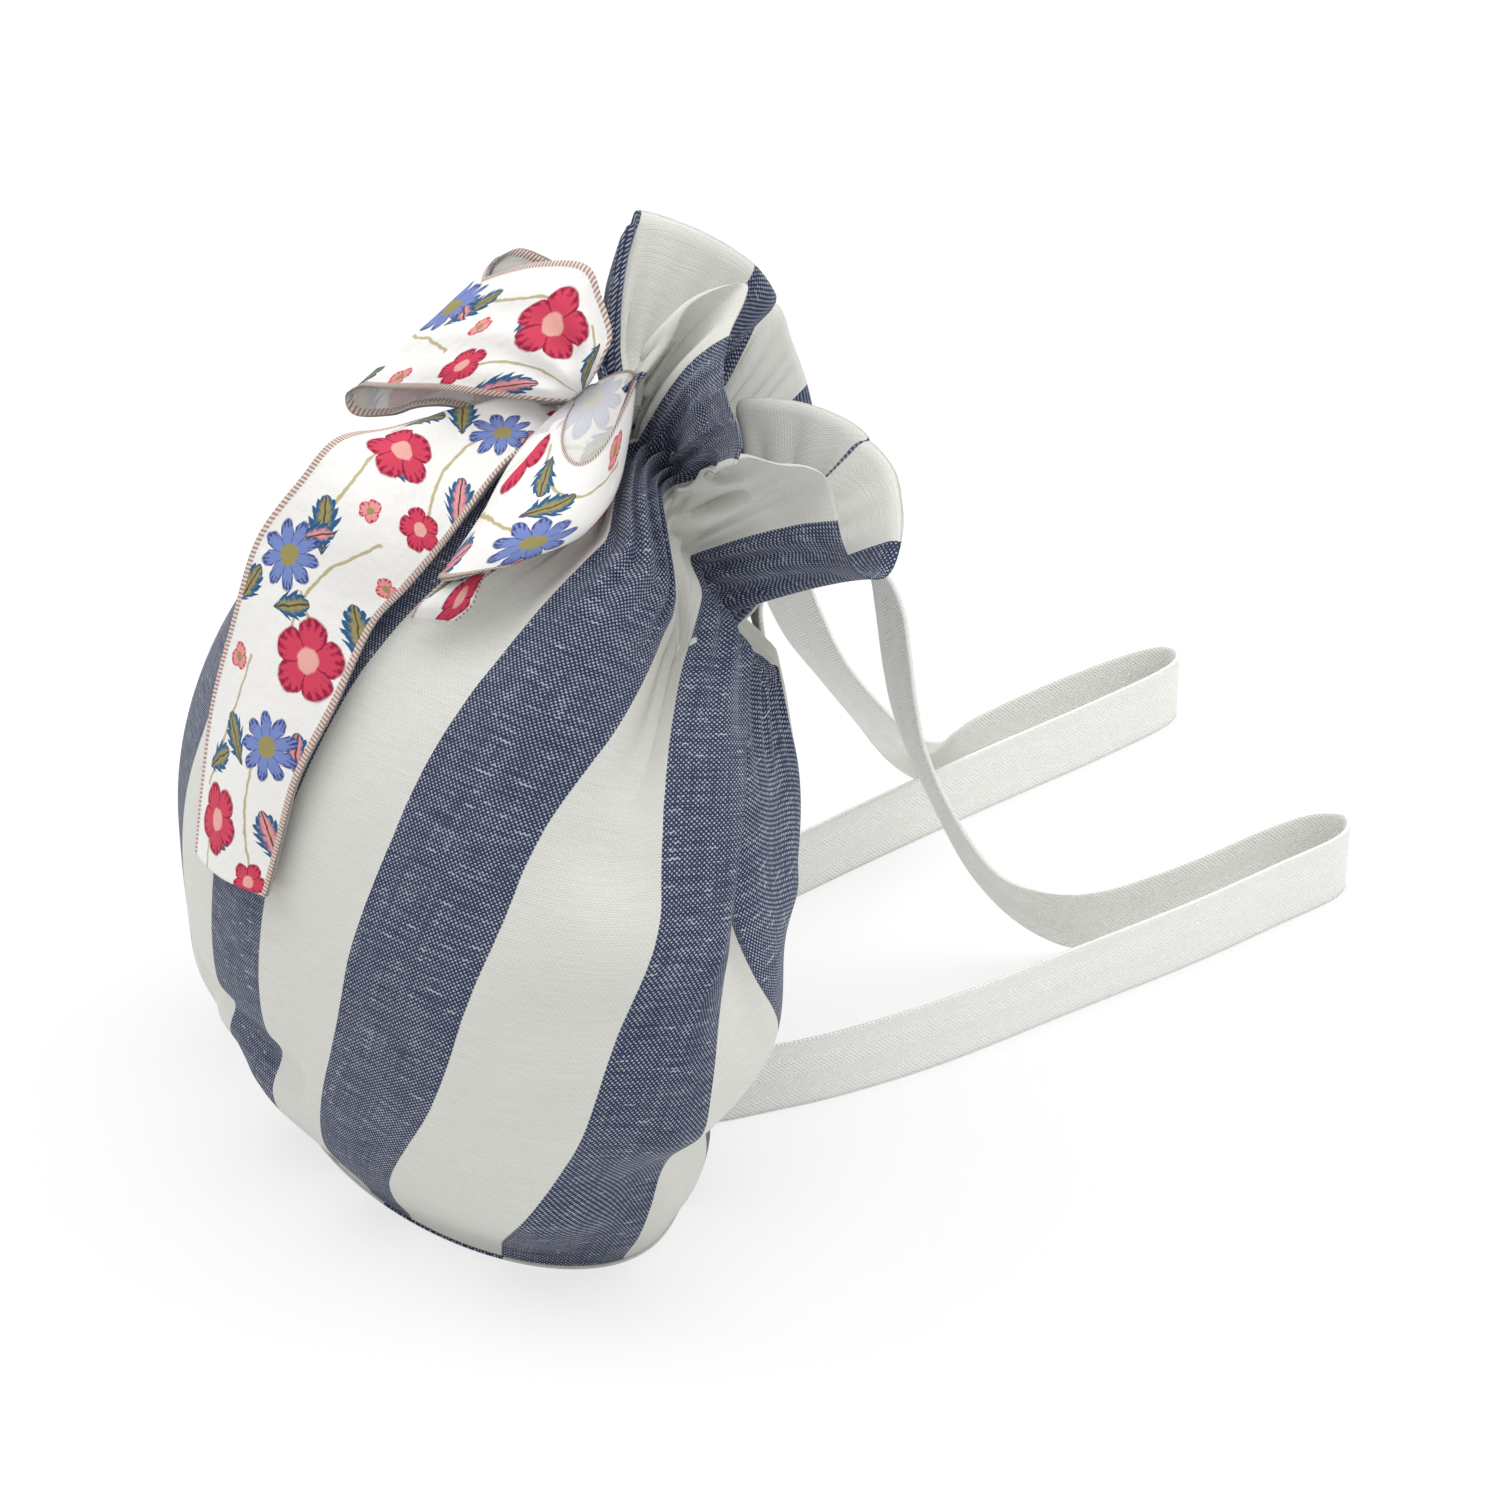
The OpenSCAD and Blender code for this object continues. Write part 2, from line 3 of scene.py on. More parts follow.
import bpy
import numpy as np
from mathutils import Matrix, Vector


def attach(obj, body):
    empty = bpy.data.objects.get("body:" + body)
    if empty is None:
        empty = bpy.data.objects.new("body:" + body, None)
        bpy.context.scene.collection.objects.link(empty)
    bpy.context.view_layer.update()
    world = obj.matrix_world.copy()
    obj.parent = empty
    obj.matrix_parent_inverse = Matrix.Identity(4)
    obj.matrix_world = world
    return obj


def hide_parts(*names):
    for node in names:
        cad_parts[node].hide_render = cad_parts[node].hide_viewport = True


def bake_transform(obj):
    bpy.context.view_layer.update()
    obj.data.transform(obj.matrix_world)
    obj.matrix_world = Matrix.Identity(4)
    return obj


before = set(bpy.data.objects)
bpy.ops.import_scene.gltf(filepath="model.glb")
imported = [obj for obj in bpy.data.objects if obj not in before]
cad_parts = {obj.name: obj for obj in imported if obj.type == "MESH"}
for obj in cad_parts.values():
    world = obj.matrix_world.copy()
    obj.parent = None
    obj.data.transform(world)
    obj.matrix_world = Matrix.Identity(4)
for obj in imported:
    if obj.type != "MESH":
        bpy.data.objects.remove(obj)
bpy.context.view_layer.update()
scene = bpy.context.scene
MM = 0.001

# sizes of the bag, in millimetres
BELLY_WIDTH, BELLY_DEPTH = 244.0, 150.0
NECK_HEIGHT, NECK_BACK, NECK_RADIUS = 197.0, 82.0, 38.0
BASE_WIDTH, BASE_DEPTH, BASE_THICK = 184.0, 110.0, 1.5
SASH_WIDTH, SASH_CLOTH = 46.0, 0.7
STRAP_WIDTH, STRAP_CLOTH = 25.0, 1.4

# the way the neck leans, in degrees
NECK_TILT, NECK_TURN = 60.0, 22.0

# cloth units round the bag, from the right side seam by way of the back, and the width of one
UNITS, UNIT = 16.0, 42.0

# a stripe's width in units
STRIPE = 1.07


def unit(v):
    v = np.asarray(v, float)
    return v / np.maximum(np.linalg.norm(v, axis=-1, keepdims=True), 1e-9)


def ease(x, low=0.0, high=1.0):
    k = np.clip((np.asarray(x, float) - low) / (high - low), 0, 1)
    return k * k * (3 - 2 * k)


def through(keys, samples):
    """A smooth curve through rows of keys, at positions from 0 to the last key's number."""
    keys = np.asarray(keys, float)
    last = len(keys) - 1
    k = np.clip(np.floor(samples).astype(int), 0, last - 1)
    h = (samples - k)[:, None]
    a, b = keys[np.maximum(k - 1, 0)], keys[k]
    c, d = keys[k + 1], keys[np.minimum(k + 2, last)]
    square = a - 2.5 * b + 2 * c - 0.5 * d
    cube = 1.5 * b - 1.5 * c + 0.5 * (d - a)
    return b + 0.5 * h * (c - a) + h**2 * square + h**3 * cube


# the big pleats: cloth unit of each ridge and its running count
RIDGES = np.array([
    [-0.4, 0], [1.8, 1], [4, 2], [6.2, 3], [8.4, 4], [10.7, 5], [13.4, 6], [15.6, 7], [17.8, 8]])
PLEAT_DEPTH, PLEAT_FROM, PLEAT_SPAN, PLEAT_GROWTH = 4.2, 0.55, 0.45, 1.6

# how far the cloth turns round the bag above the belly: cloth unit and turn in units
SHIFT = np.array([[0, 0.1], [0.9, -0.55], [4, -0.3], [8, 0], [15.6, 0.36], [16, 0.1]])
SHIFT_FROM, SHIFT_TO = 0.36, 0.66

# a crease beside the right side seam: depth; middle and width in units; middle and reach in height
CREASE_DEPTH, CREASE_UNIT, CREASE_WIDTH, CREASE_HEIGHT, CREASE_REACH = 13, 0.45, 0.5, 0.68, 0.22

# degrees by which the columns are moved to space them evenly round the oval
COLUMN_SPACING = 6.7

# rings up the body: height; middle across in millimetres; shares of the neck's way back, height and lean,
# of the belly's half width and half depth, and of the neck's turn
STATIONS = np.array([
    [0, 0, 0, 0, 0, 0, 0, 0], [0.08, -2, 0, 0.064, 0.017, 0.82, 0.8, 0.09],
    [0.2, -4, 0.012, 0.197, 0.05, 0.926, 0.907, 0.18], [0.36, -5, 0.049, 0.381, 0.117, 1, 0.987, 0.36],
    [0.52, -5, 0.134, 0.565, 0.25, 0.984, 1, 0.55], [0.68, -4, 0.317, 0.734, 0.45, 0.869, 0.947, 0.73],
    [0.82, -1, 0.573, 0.867, 0.683, 0.689, 0.827, 0.86], [0.93, 2, 0.829, 0.954, 0.883, 0.467, 0.653, 0.95],
    [1, 4, 1, 1, 1, 0, 0, 1]])
TABLE = STATIONS * [
    1, 1, NECK_BACK, NECK_HEIGHT - BASE_THICK, NECK_TILT, BELLY_WIDTH / 2, BELLY_DEPTH / 2, NECK_TURN]
TABLE[:, 3] += BASE_THICK
TABLE[0, 5:7] = BASE_WIDTH / 2, BASE_DEPTH / 2
TABLE[-1, 5:7] = NECK_RADIUS + 1, NECK_RADIUS


def station(t):
    t = np.asarray(t, float)
    k = np.clip(np.searchsorted(TABLE[:, 0], t, side="right") - 1, 0, len(TABLE) - 2)

    def slope(j):
        a, b = np.maximum(j - 1, 0), np.minimum(j + 1, len(TABLE) - 1)
        return (TABLE[b] - TABLE[a]) / (TABLE[b, 0] - TABLE[a, 0])[..., None]

    d = (TABLE[k + 1, 0] - TABLE[k, 0])[..., None]
    h = ((t - TABLE[k, 0]) / d[..., 0])[..., None]
    return (TABLE[k] * (2 * h**3 - 3 * h**2 + 1) + slope(k) * d * (h**3 - 2 * h**2 + h)
            + TABLE[k + 1] * (3 * h**2 - 2 * h**3) + slope(k + 1) * d * (h**3 - h**2))


def lean(x, y, tilt, turn):
    tilt, turn = np.radians(tilt), np.radians(turn)
    along = x * np.sin(turn) + y * np.cos(turn)
    return np.stack([
        x - along * np.sin(turn) + along * np.cos(tilt) * np.sin(turn),
        y - along * np.cos(turn) + along * np.cos(tilt) * np.cos(turn),
        -along * np.sin(tilt)], -1)


def lobe(u):
    return np.cos(2 * np.pi * np.interp(np.mod(u, UNITS), RIDGES[:, 0], RIDGES[:, 1]))


def gather(u, t):
    return u + ease(t, SHIFT_FROM, SHIFT_TO) * np.interp(np.mod(u, UNITS), SHIFT[:, 0], SHIFT[:, 1])


def ring_angle(u):
    return np.radians(360 * u / UNITS + COLUMN_SPACING * np.sin(np.radians(720 * u / UNITS)))


def around(u, middle):
    """Signed distance in cloth units from a middle, the short way round."""
    return np.mod(u - middle + UNITS / 2, UNITS) - UNITS / 2


def crease(u, t):
    across = np.exp(-((around(u, CREASE_UNIT)) / CREASE_WIDTH) ** 2)
    return CREASE_DEPTH * across * np.exp(-(((t - CREASE_HEIGHT) / CREASE_REACH) ** 2))


def body_point(u, t, gathers=1.0):
    u, t = np.broadcast_arrays(np.asarray(u, float), np.asarray(t, float))
    s, a = station(t), ring_angle(gather(u, t))
    pleats = np.clip((t - PLEAT_FROM) / PLEAT_SPAN, 0, 1) ** PLEAT_GROWTH * PLEAT_DEPTH * lobe(u)
    r = gathers * (pleats - crease(u, t))
    return (s[..., 1:4] + ((s[..., 5] + r) * np.cos(a))[..., None] * lean(1.0, 0.0, s[..., 4], s[..., 7])
            + ((s[..., 6] + r) * np.sin(a))[..., None] * lean(0.0, 1.0, s[..., 4], s[..., 7]))


def body_out(u, t):
    """The way straight out of the smooth body, by small steps on it."""
    du, dt = 0.1, 0.01
    round_step = body_point(u + du, t, 0) - body_point(u - du, t, 0)
    up_step = body_point(u, t + dt, 0) - body_point(u, t - dt, 0)
    return unit(np.cross(round_step, up_step))


def waves(x, y, seed, count=7, low=1.0, high=3.0):
    """Soft random waves, the same on every run."""
    rng = np.random.default_rng(seed)
    total = 0
    for _ in range(count):
        turn, size, phase = rng.uniform(0, 2 * np.pi), rng.uniform(low, high), rng.uniform(0, 2 * np.pi)
        total = total + np.sin(size * (np.cos(turn) * x + np.sin(turn) * y) + phase)
    return total / math.sqrt(count)


# neck ring and its directions
NECK = TABLE[-1, 1:4]
RING_X, RING_Y = lean(1.0, 0.0, NECK_TILT, NECK_TURN), lean(0.0, 1.0, NECK_TILT, NECK_TURN)
RING_UP = np.cross(RING_X, RING_Y)

# small gathers drawn together at the neck, as a running count round the bag
GATHER_COUNT, GATHER_HEIGHT, GATHER_FROM = 60, 3.0, 0.74
GATHER_EVEN, GATHER_UNEVEN, GATHER_WAVES, GATHER_SEED = 0.7, 0.3, 4, 8
gather_steps = np.random.default_rng(4).uniform(0.6, 1.4, GATHER_COUNT)
GATHER_AT = np.concatenate([[0], np.cumsum(gather_steps)]) / gather_steps.sum() * UNITS


def small_gathers(u):
    count = np.interp(np.mod(u, UNITS), GATHER_AT, np.arange(GATHER_COUNT + 1))
    return np.cos(2 * np.pi * count)


def gather_rise(t):
    return GATHER_HEIGHT * ease(t, GATHER_FROM, 1.0) ** 2


# folds on the body: start unit and height, end unit and height, width in units, height in millimetres
BODY_FOLDS = [
    (13.35, 1.0, 13.45, 0.8, 0.5, 9.0), (12.6, 1.0, 12.5, 0.82, 0.45, -6.0),
    (14.4, 1.0, 14.5, 0.7, 0.42, -8.0), (15.5, 0.99, 15.75, 0.6, 0.4, 4.0),
    (15.2, 0.42, 14.2, 0.36, 0.5, 2.2), (15.4, 0.5, 14.6, 0.47, 0.4, -2.2),
    (10.4, 0.16, 11.2, 0.1, 0.4, -7.0), (9.2, 0.84, 10.0, 0.9, 0.7, 6.0),
    (9.6, 0.22, 10.4, 0.17, 0.4, 2.5), (10.6, 0.235, 12.1, 0.222, 0.2, -5.5),
    (10.8, 0.165, 12.0, 0.16, 0.35, 3.0), (12.2, 0.3, 12.9, 0.08, 0.5, 1.6),
    (14.9, 0.06, 15.6, 0.13, 0.35, -2.5), (15.6, 0.2, 18.6, 0.21, 0.58, -15.0),
    (15.5, 0.3, 15.9, 0.31, 0.3, 3.0), (2.5, 1.0, 2.2, 0.62, 0.5, 8.0),
]
# a fold's height at its ends, and what it gains in the middle
FOLD_END, FOLD_SWELL = 0.55, 0.45

# the body's height in units, and how near the right side seam the slack fades
BODY_UNITS, SEAM_WIDTH = 6.5, 0.6

# heights where folds and slack are in full, and where the slack starts to fade
FOLD_FULL, SLACK_FULL, SLACK_FADE = 0.05, 0.06, 0.9

# slack of the cloth: height in millimetres, waves round and up the bag, seed
SLACK = [(1.1, 1.1, 7, 3), (0.45, 2.6, 12, 5)]


def body_detail(u, t, fine=1.0):
    """Folds, slack and gathers, in millimetres outwards."""
    seam = 1 - np.exp(-((around(u, 0.0) / SEAM_WIDTH) ** 2))
    total = 0
    for u0, t0, u1, t1, width, height in BODY_FOLDS:
        du, dt = u1 - u0, (t1 - t0) * BODY_UNITS
        x, y = around(u, u0), (t - t0) * BODY_UNITS
        along = np.clip((x * du + y * dt) / (du * du + dt * dt), 0, 1)
        gap = np.hypot(x - along * du, y - along * dt)
        swell = FOLD_END + FOLD_SWELL * np.sin(np.pi * np.clip(along, 0.1, 0.9))
        total = total + height * np.exp(-((gap / width) ** 2)) * swell
    quiet = ease(t, 0.0, SLACK_FULL) * (1 - ease(t, SLACK_FADE, 1.0))
    total = total * ease(t, 0.0, FOLD_FULL)
    slack = sum(height * waves(u * across, t * up, seed) for height, across, up, seed in SLACK)
    total = total + seam * quiet * slack
    uneven = GATHER_EVEN + GATHER_UNEVEN * seam * waves(u, t * GATHER_WAVES, GATHER_SEED)
    return total + fine * gather_rise(t) * small_gathers(u) * uneven


# how the drawn neck moves the cloth: unit, slide in units on the shoulder and at the neck, rise at the neck
NECK_DRAW = np.array([
    [0, 0, 0, 0], [9, 0, 0, 0], [9.67, 0, -0.1, 0], [10.74, 0, -0.25, 0], [11.3, 0, -0.9, 1.5],
    [11.81, 0.05, -1.45, 3], [12.88, 0.15, -1.85, 5], [13.4, 0.3, -1.5, 7], [13.95, 0.42, -1.2, 9],
    [14.5, 0.3, -0.9, 6], [15.02, -0.3, -0.5, 3], [16, 0, 0, 0]])
SHOULDER_FROM, SHOULDER_TO, DRAW_FROM, DRAW_TO, RISE_FROM = 0.62, 0.9, 0.92, 0.99, 0.9


def neck_draw(u, column):
    return np.interp(np.mod(u, UNITS), NECK_DRAW[:, 0], NECK_DRAW[:, column])


def drawn(u, t):
    """The cloth unit where a thread ends up after the neck is drawn."""
    shoulder = ease(t, SHOULDER_FROM, SHOULDER_TO) * (1 - ease(t, DRAW_FROM, DRAW_TO))
    return u + shoulder * neck_draw(u, 1) + ease(t, DRAW_FROM, 1.0) * neck_draw(u, 2)


# the pinch under the casing and the tuck at the base, which is less at one place round the bag
NECK_PINCH, PINCH_FROM = 10.0, 0.955
BASE_TUCK, TUCK_TO, TUCK_SPARED, TUCK_UNIT, TUCK_WIDTH = 8.0, 0.16, 0.6, 2.0, 0.8


def body_cloth(u, t, fine=1.0):
    """The bag's cloth as it hangs; fine is the share of its small gathers."""
    u, t = np.broadcast_arrays(np.asarray(u, float), np.asarray(t, float))
    at = drawn(u, t)
    rise = ease(t, RISE_FROM, 1.0) * neck_draw(u, 3)
    lift = body_detail(u, t, fine) - NECK_PINCH * ease(t, PINCH_FROM, 1.0)
    spared = TUCK_SPARED * np.exp(-((around(u, TUCK_UNIT) / TUCK_WIDTH) ** 2))
    tuck = BASE_TUCK * (1 - ease(t, 0.0, TUCK_TO)) * (1 - spared)
    out = body_out(at, t)
    return (body_point(at, t) + lift[..., None] * out + rise[..., None] * RING_UP
            - tuck[..., None] * unit(out * [1, 1, 0]))


# directions at the frill's edge: across the mouth, forwards and along the neck
EDGE_X = np.array([-0.687, -0.163, 0.708])
EDGE_Y = np.array([0.668, -0.522, 0.530])
EDGE_Z = np.array([0.282, 0.834, 0.473])

# the frill's free edge: cloth unit, millimetres along those directions, lift and outward puff of its middle
EDGE_KEYS = np.array([
    [0.3, -34, 40, 55, 10, 0], [0.55, -24, 26, 59, 10, 0], [0.8, -12, 13, 57, 10, 0],
    [1.25, -22, -6, 48, 8, 0], [1.82, -11, -9, 60, 8, 0], [2.35, 9, -10, 49, 14, 0],
    [2.85, 20, -15, 32, 16, 0], [3.3, -10, -30, 44, 10, 0], [3.8, -34, -46, 50, 8, 0],
    [4.4, -30, -60, 52, 8, 0], [5, -14, -62, 52, 8, 0], [5.55, -4, -52, 49, 8, 0],
    [6.1, 16, -57, 56, 8, 0], [6.6, 29, -51, 59, 8, 0], [7.05, 41, -42, 61, 8, 0],
    [7.6, 47, -46, 52, 8, 0], [8.2, 55, -32, 50, 6, 0], [8.7, 48, -20, 58, 6, 0],
    [9.25, 40, -7, 60, 6, 0], [9.67, 51, 6, 59, 4, 0], [10.25, 67, 14, 51, 0, 6],
    [10.74, 82, 18, 39, 0, 14], [10.94, 80, 24, 34, 0, 13], [11.12, 69, 20, 19, 0, 10],
    [11.36, 57, 24, 5, 0, 8], [11.6, 38, 38, 2, 0, 8], [11.95, 41, 44, 21, 0, 10],
    [12.2, 48, 46, 35, 0, 14], [12.45, 44, 42, 52, 2, 14], [12.88, 33, 58, 38, 4, 12],
    [13.35, 21, 70, 28, 6, 8], [13.85, 5, 74, 23, 8, 4], [14.03, 0, 72, 17, 8, 2],
    [14.2, 1, 60, 22, 8, 0], [14.42, -8, 66, 30, 9, 0], [14.65, -13, 70, 36, 10, 0],
    [14.88, -20, 69, 38, 10, 0], [15.1, -35, 71, 32, 10, 0], [15.42, -46, 67, 31, 10, 0],
    [15.76, -51, 60, 38, 10, 0], [16.02, -44, 52, 48, 10, 0]])

# where the edge starts, in units, and how many keys it overlaps
EDGE_START, EDGE_LAP = 0.1, 3

# how far from the neck to the edge the frill bends
FRILL_BEND = 0.45


def edge_row(u):
    turn = np.zeros(EDGE_KEYS.shape[1])
    turn[0] = UNITS
    keys = np.concatenate([EDGE_KEYS[-EDGE_LAP:] - turn, EDGE_KEYS, EDGE_KEYS[:EDGE_LAP] + turn])
    at = np.mod(u - EDGE_START, UNITS) + EDGE_START
    place = np.interp(at, keys[:, 0], np.arange(len(keys)))
    return through(keys[:, 1:], place.ravel()).reshape(at.shape + (keys.shape[1] - 1,))


def frill_cloth(u, h):
    """The frill from the drawn neck, h 0, to its free edge, h 1."""
    u, h = np.broadcast_arrays(np.asarray(u, float), np.asarray(h, float))
    neck, row = body_cloth(u, np.ones_like(u)), edge_row(u)
    edge = NECK + row[..., :1] * EDGE_X + row[..., 1:2] * EDGE_Y + row[..., 2:3] * EDGE_Z
    a = ring_angle(gather(drawn(u, np.ones_like(u)), 1.0))[..., None]
    outwards = np.cos(a) * RING_X + np.sin(a) * RING_Y
    bend = neck + FRILL_BEND * (edge - neck) + row[..., 3:4] * RING_UP + row[..., 4:5] * outwards
    h3 = h[..., None]
    return neck * (1 - h3) ** 2 + bend * 2 * h3 * (1 - h3) + edge * h3**2


def grid_normals(p, closed=False):
    if closed:
        di = np.roll(p, -1, 0) - np.roll(p, 1, 0)
    else:
        di = np.gradient(p, axis=0)
    return unit(np.cross(di, np.gradient(p, axis=1)))


def smooth_rows(p, times, rows):
    """Evens out chosen rows of a closed grid sideways."""
    for _ in range(times):
        p[:, rows] = 0.5 * p[:, rows] + 0.25 * (np.roll(p, 1, 0) + np.roll(p, -1, 0))[:, rows]
    return p


def grid_faces(index):
    return np.stack([index[:-1, :-1], index[1:, :-1], index[1:, 1:], index[:-1, 1:]], -1).reshape(-1, 4)


def solid_sheet(name, middle, uv, half, material, uv_back=None):
    """A closed thin sheet about a grid of middle points, with its half thickness at each point."""
    ni, nj = middle.shape[:2]
    lift = np.broadcast_to(half, (ni, nj))[..., None] * grid_normals(middle)
    points = np.concatenate([(middle + lift).reshape(-1, 3), (middle - lift).reshape(-1, 3)])
    index = np.arange(ni * nj).reshape(ni, nj)
    top = grid_faces(index)
    rim = np.concatenate([index[:-1, 0], index[-1, :-1], index[:0:-1, -1], index[0, :0:-1]])
    ahead = np.roll(rim, -1)
    wall = np.stack([rim, rim + ni * nj, ahead + ni * nj, ahead], -1)
    faces = np.concatenate([top, top[:, ::-1] + ni * nj, wall])
    both = np.concatenate([uv.reshape(-1, 2), (uv if uv_back is None else uv_back).reshape(-1, 2)])
    return make_piece(name, points, faces, both, material)


def put_in_scene(name, data):
    made = bpy.data.objects.new(name, data)
    scene.collection.objects.link(made)
    return made


def make_piece(name, points, faces, uv, material):
    mesh = bpy.data.meshes.new(name)
    mesh.from_pydata((points * MM).tolist(), [], faces.tolist())
    corners = np.zeros(len(mesh.loops), int)
    mesh.loops.foreach_get("vertex_index", corners)
    mesh.uv_layers.new(name="cloth").data.foreach_set("uv", uv[corners].ravel())
    mesh.polygons.foreach_set("use_smooth", np.ones(len(mesh.polygons), bool))
    mesh.materials.append(material)
    mesh.update()
    return put_in_scene(name, mesh)


def open_sheet(name, p, uv, material):
    index = np.arange(p[..., 0].size).reshape(p.shape[:2])
    return make_piece(name, p.reshape(-1, 3), grid_faces(index), uv.reshape(-1, 2), material)


def run_length(p, axis):
    """Length along a grid's rows, from nought."""
    steps = np.linalg.norm(np.diff(p, axis=axis), axis=-1)
    total = np.cumsum(steps, axis=axis)
    start = np.zeros_like(np.take(total, [0], axis=axis))
    return np.concatenate([start, total], axis=axis)


def material(name):
    """A new material, its links and its shader."""
    made = bpy.data.materials.new(name)
    made.use_nodes = True
    return made, made.node_tree.links, made.node_tree.nodes["Principled BSDF"]


def set_finish(bsdf, rough, shine):
    bsdf.inputs["Roughness"].default_value = rough
    bsdf.inputs["Specular IOR Level"].default_value = shine


class Maker:
    """Short ways to add shader nodes."""

    def __init__(self, tree):
        self.nodes, self.links = tree.nodes, tree.links

    def put(self, socket, value):
        if isinstance(value, bpy.types.NodeSocket):
            self.links.new(value, socket)
        else:
            socket.default_value = value

    def math(self, how, a, b=0.0, c=0.0, clamp=False):
        node = self.nodes.new("ShaderNodeMath")
        node.operation, node.use_clamp = how, clamp
        for socket, value in zip(node.inputs, (a, b, c)):
            self.put(socket, value)
        return node.outputs[0]

    def add(self, a, b):
        return self.math("ADD", a, b)

    def sub(self, a, b):
        return self.math("SUBTRACT", a, b)

    def mul(self, a, b):
        return self.math("MULTIPLY", a, b)

    def step(self, value, low, high):
        node = self.nodes.new("ShaderNodeMapRange")
        node.interpolation_type = "SMOOTHSTEP"
        for socket, v in zip(node.inputs, (value, low, high, 0.0, 1.0)):
            self.put(socket, v)
        return node.outputs[0]

    def mix(self, share, a, b):
        node = self.nodes.new("ShaderNodeMix")
        node.data_type = "RGBA"
        self.put(node.inputs["Factor"], share)
        self.put(node.inputs[6], a)
        self.put(node.inputs[7], b)
        return node.outputs[2]

    def uv(self):
        node = self.nodes.new("ShaderNodeUVMap")
        node.uv_map = "cloth"
        split = self.nodes.new("ShaderNodeSeparateXYZ")
        self.links.new(node.outputs[0], split.inputs[0])
        return split.outputs[0], split.outputs[1]

    def join(self, x, y, z=0.0):
        node = self.nodes.new("ShaderNodeCombineXYZ")
        for socket, value in zip(node.inputs, (x, y, z)):
            self.put(socket, value)
        return node.outputs[0]

    def noise(self, x, y, scale, detail=2.0, rough=0.5):
        node = self.nodes.new("ShaderNodeTexNoise")
        node.noise_dimensions = "2D"
        self.links.new(self.join(x, y), node.inputs["Vector"])
        node.inputs["Scale"].default_value = scale
        node.inputs["Detail"].default_value = detail
        node.inputs["Roughness"].default_value = rough
        return node.outputs[0]

    def bump(self, height, distance, strength=1.0):
        node = self.nodes.new("ShaderNodeBump")
        node.inputs["Distance"].default_value = distance
        node.inputs["Strength"].default_value = strength
        self.links.new(height, node.inputs["Height"])
        return node.outputs[0]


def srgb(r, g, b):
    def level(v):
        v = v / 255
        return v / 12.92 if v <= 0.04045 else ((v + 0.055) / 1.055) ** 2.4
    return level(r), level(g), level(b), 1.0


# the bag's weave, in metres: pitch of a thread, and how far a stripe's edge wanders and blurs
THREAD, EDGE_WANDER, EDGE_BLUR = 0.00077, 0.0006, 0.0002
NAVY_DARK, NAVY_LIGHT, WEFT_SPECK = srgb(30, 37, 62), srgb(59, 69, 98), srgb(190, 195, 205)
PALE_LOW, PALE_HIGH, PALE_SLUB = srgb(202, 202, 195), srgb(226, 226, 220), srgb(234, 234, 229)


def stripe_material():
    made, links, bsdf = material("stripe_cloth")
    m = Maker(made.node_tree)
    x, y = m.uv()
    band = m.math("FLOORED_MODULO", x, 2 * STRIPE * UNIT * MM)
    wander = m.mul(m.sub(m.noise(x, y, 60.0), 0.5), EDGE_WANDER)
    half = STRIPE * UNIT * MM
    edge_one = m.step(m.add(band, wander), half - EDGE_BLUR, half + EDGE_BLUR)
    edge_two = m.sub(1.0, m.step(m.add(band, wander), 2 * half - EDGE_BLUR, 2 * half))
    blue = m.mul(edge_one, edge_two)
    across, along = m.mul(x, math.pi / THREAD), m.mul(y, math.pi / THREAD)
    weave = m.mul(m.math("SINE", across), m.math("SINE", along))
    weft_run = m.noise(m.mul(x, 60.0), m.mul(y, 1300.0), 1.0, 3.0, 0.6)
    warp_run = m.noise(m.mul(x, 1300.0), m.mul(y, 40.0), 1.0, 3.0, 0.6)
    slub = m.step(m.noise(m.mul(x, 150.0), m.mul(y, 1000.0), 1.0, 1.0), 0.70, 0.78)
    light = m.add(m.mul(m.sub(weft_run, 0.5), 1.5), m.mul(m.sub(0.5, warp_run), 1.1))
    weft_up = m.step(m.add(weave, m.add(light, m.mul(slub, 0.8))), 0.12, 0.85)
    navy = m.mix(warp_run, NAVY_DARK, NAVY_LIGHT)
    dots = m.mix(m.math("MULTIPLY", weft_up, 0.85, clamp=True), navy, WEFT_SPECK)
    pale = m.mix(m.math("MULTIPLY_ADD", weave, 0.22, 0.5, clamp=True), PALE_LOW, PALE_HIGH)
    pale = m.mix(m.mul(m.sub(weft_run, 0.35), 0.7), pale, PALE_SLUB)
    links.new(m.mix(blue, pale, dots), bsdf.inputs["Base Color"])
    relief = m.add(m.mul(m.math("ABSOLUTE", weave), 0.5), m.mul(weft_run, 0.9))
    links.new(m.bump(relief, 0.00022, 0.7), bsdf.inputs["Normal"])
    set_finish(bsdf, 0.9, 0.15)
    bsdf.inputs["Sheen Weight"].default_value = 0.12
    bsdf.inputs["Sheen Roughness"].default_value = 0.5
    return made


# the tape's weave, in metres: width of a herringbone, length of a twill line and width of a rib
HERRINGBONE, TWILL, RIB = 0.0125, 0.0015, 0.0008
TAPE_LOW, TAPE_HIGH = srgb(243, 243, 238), srgb(252, 252, 248)


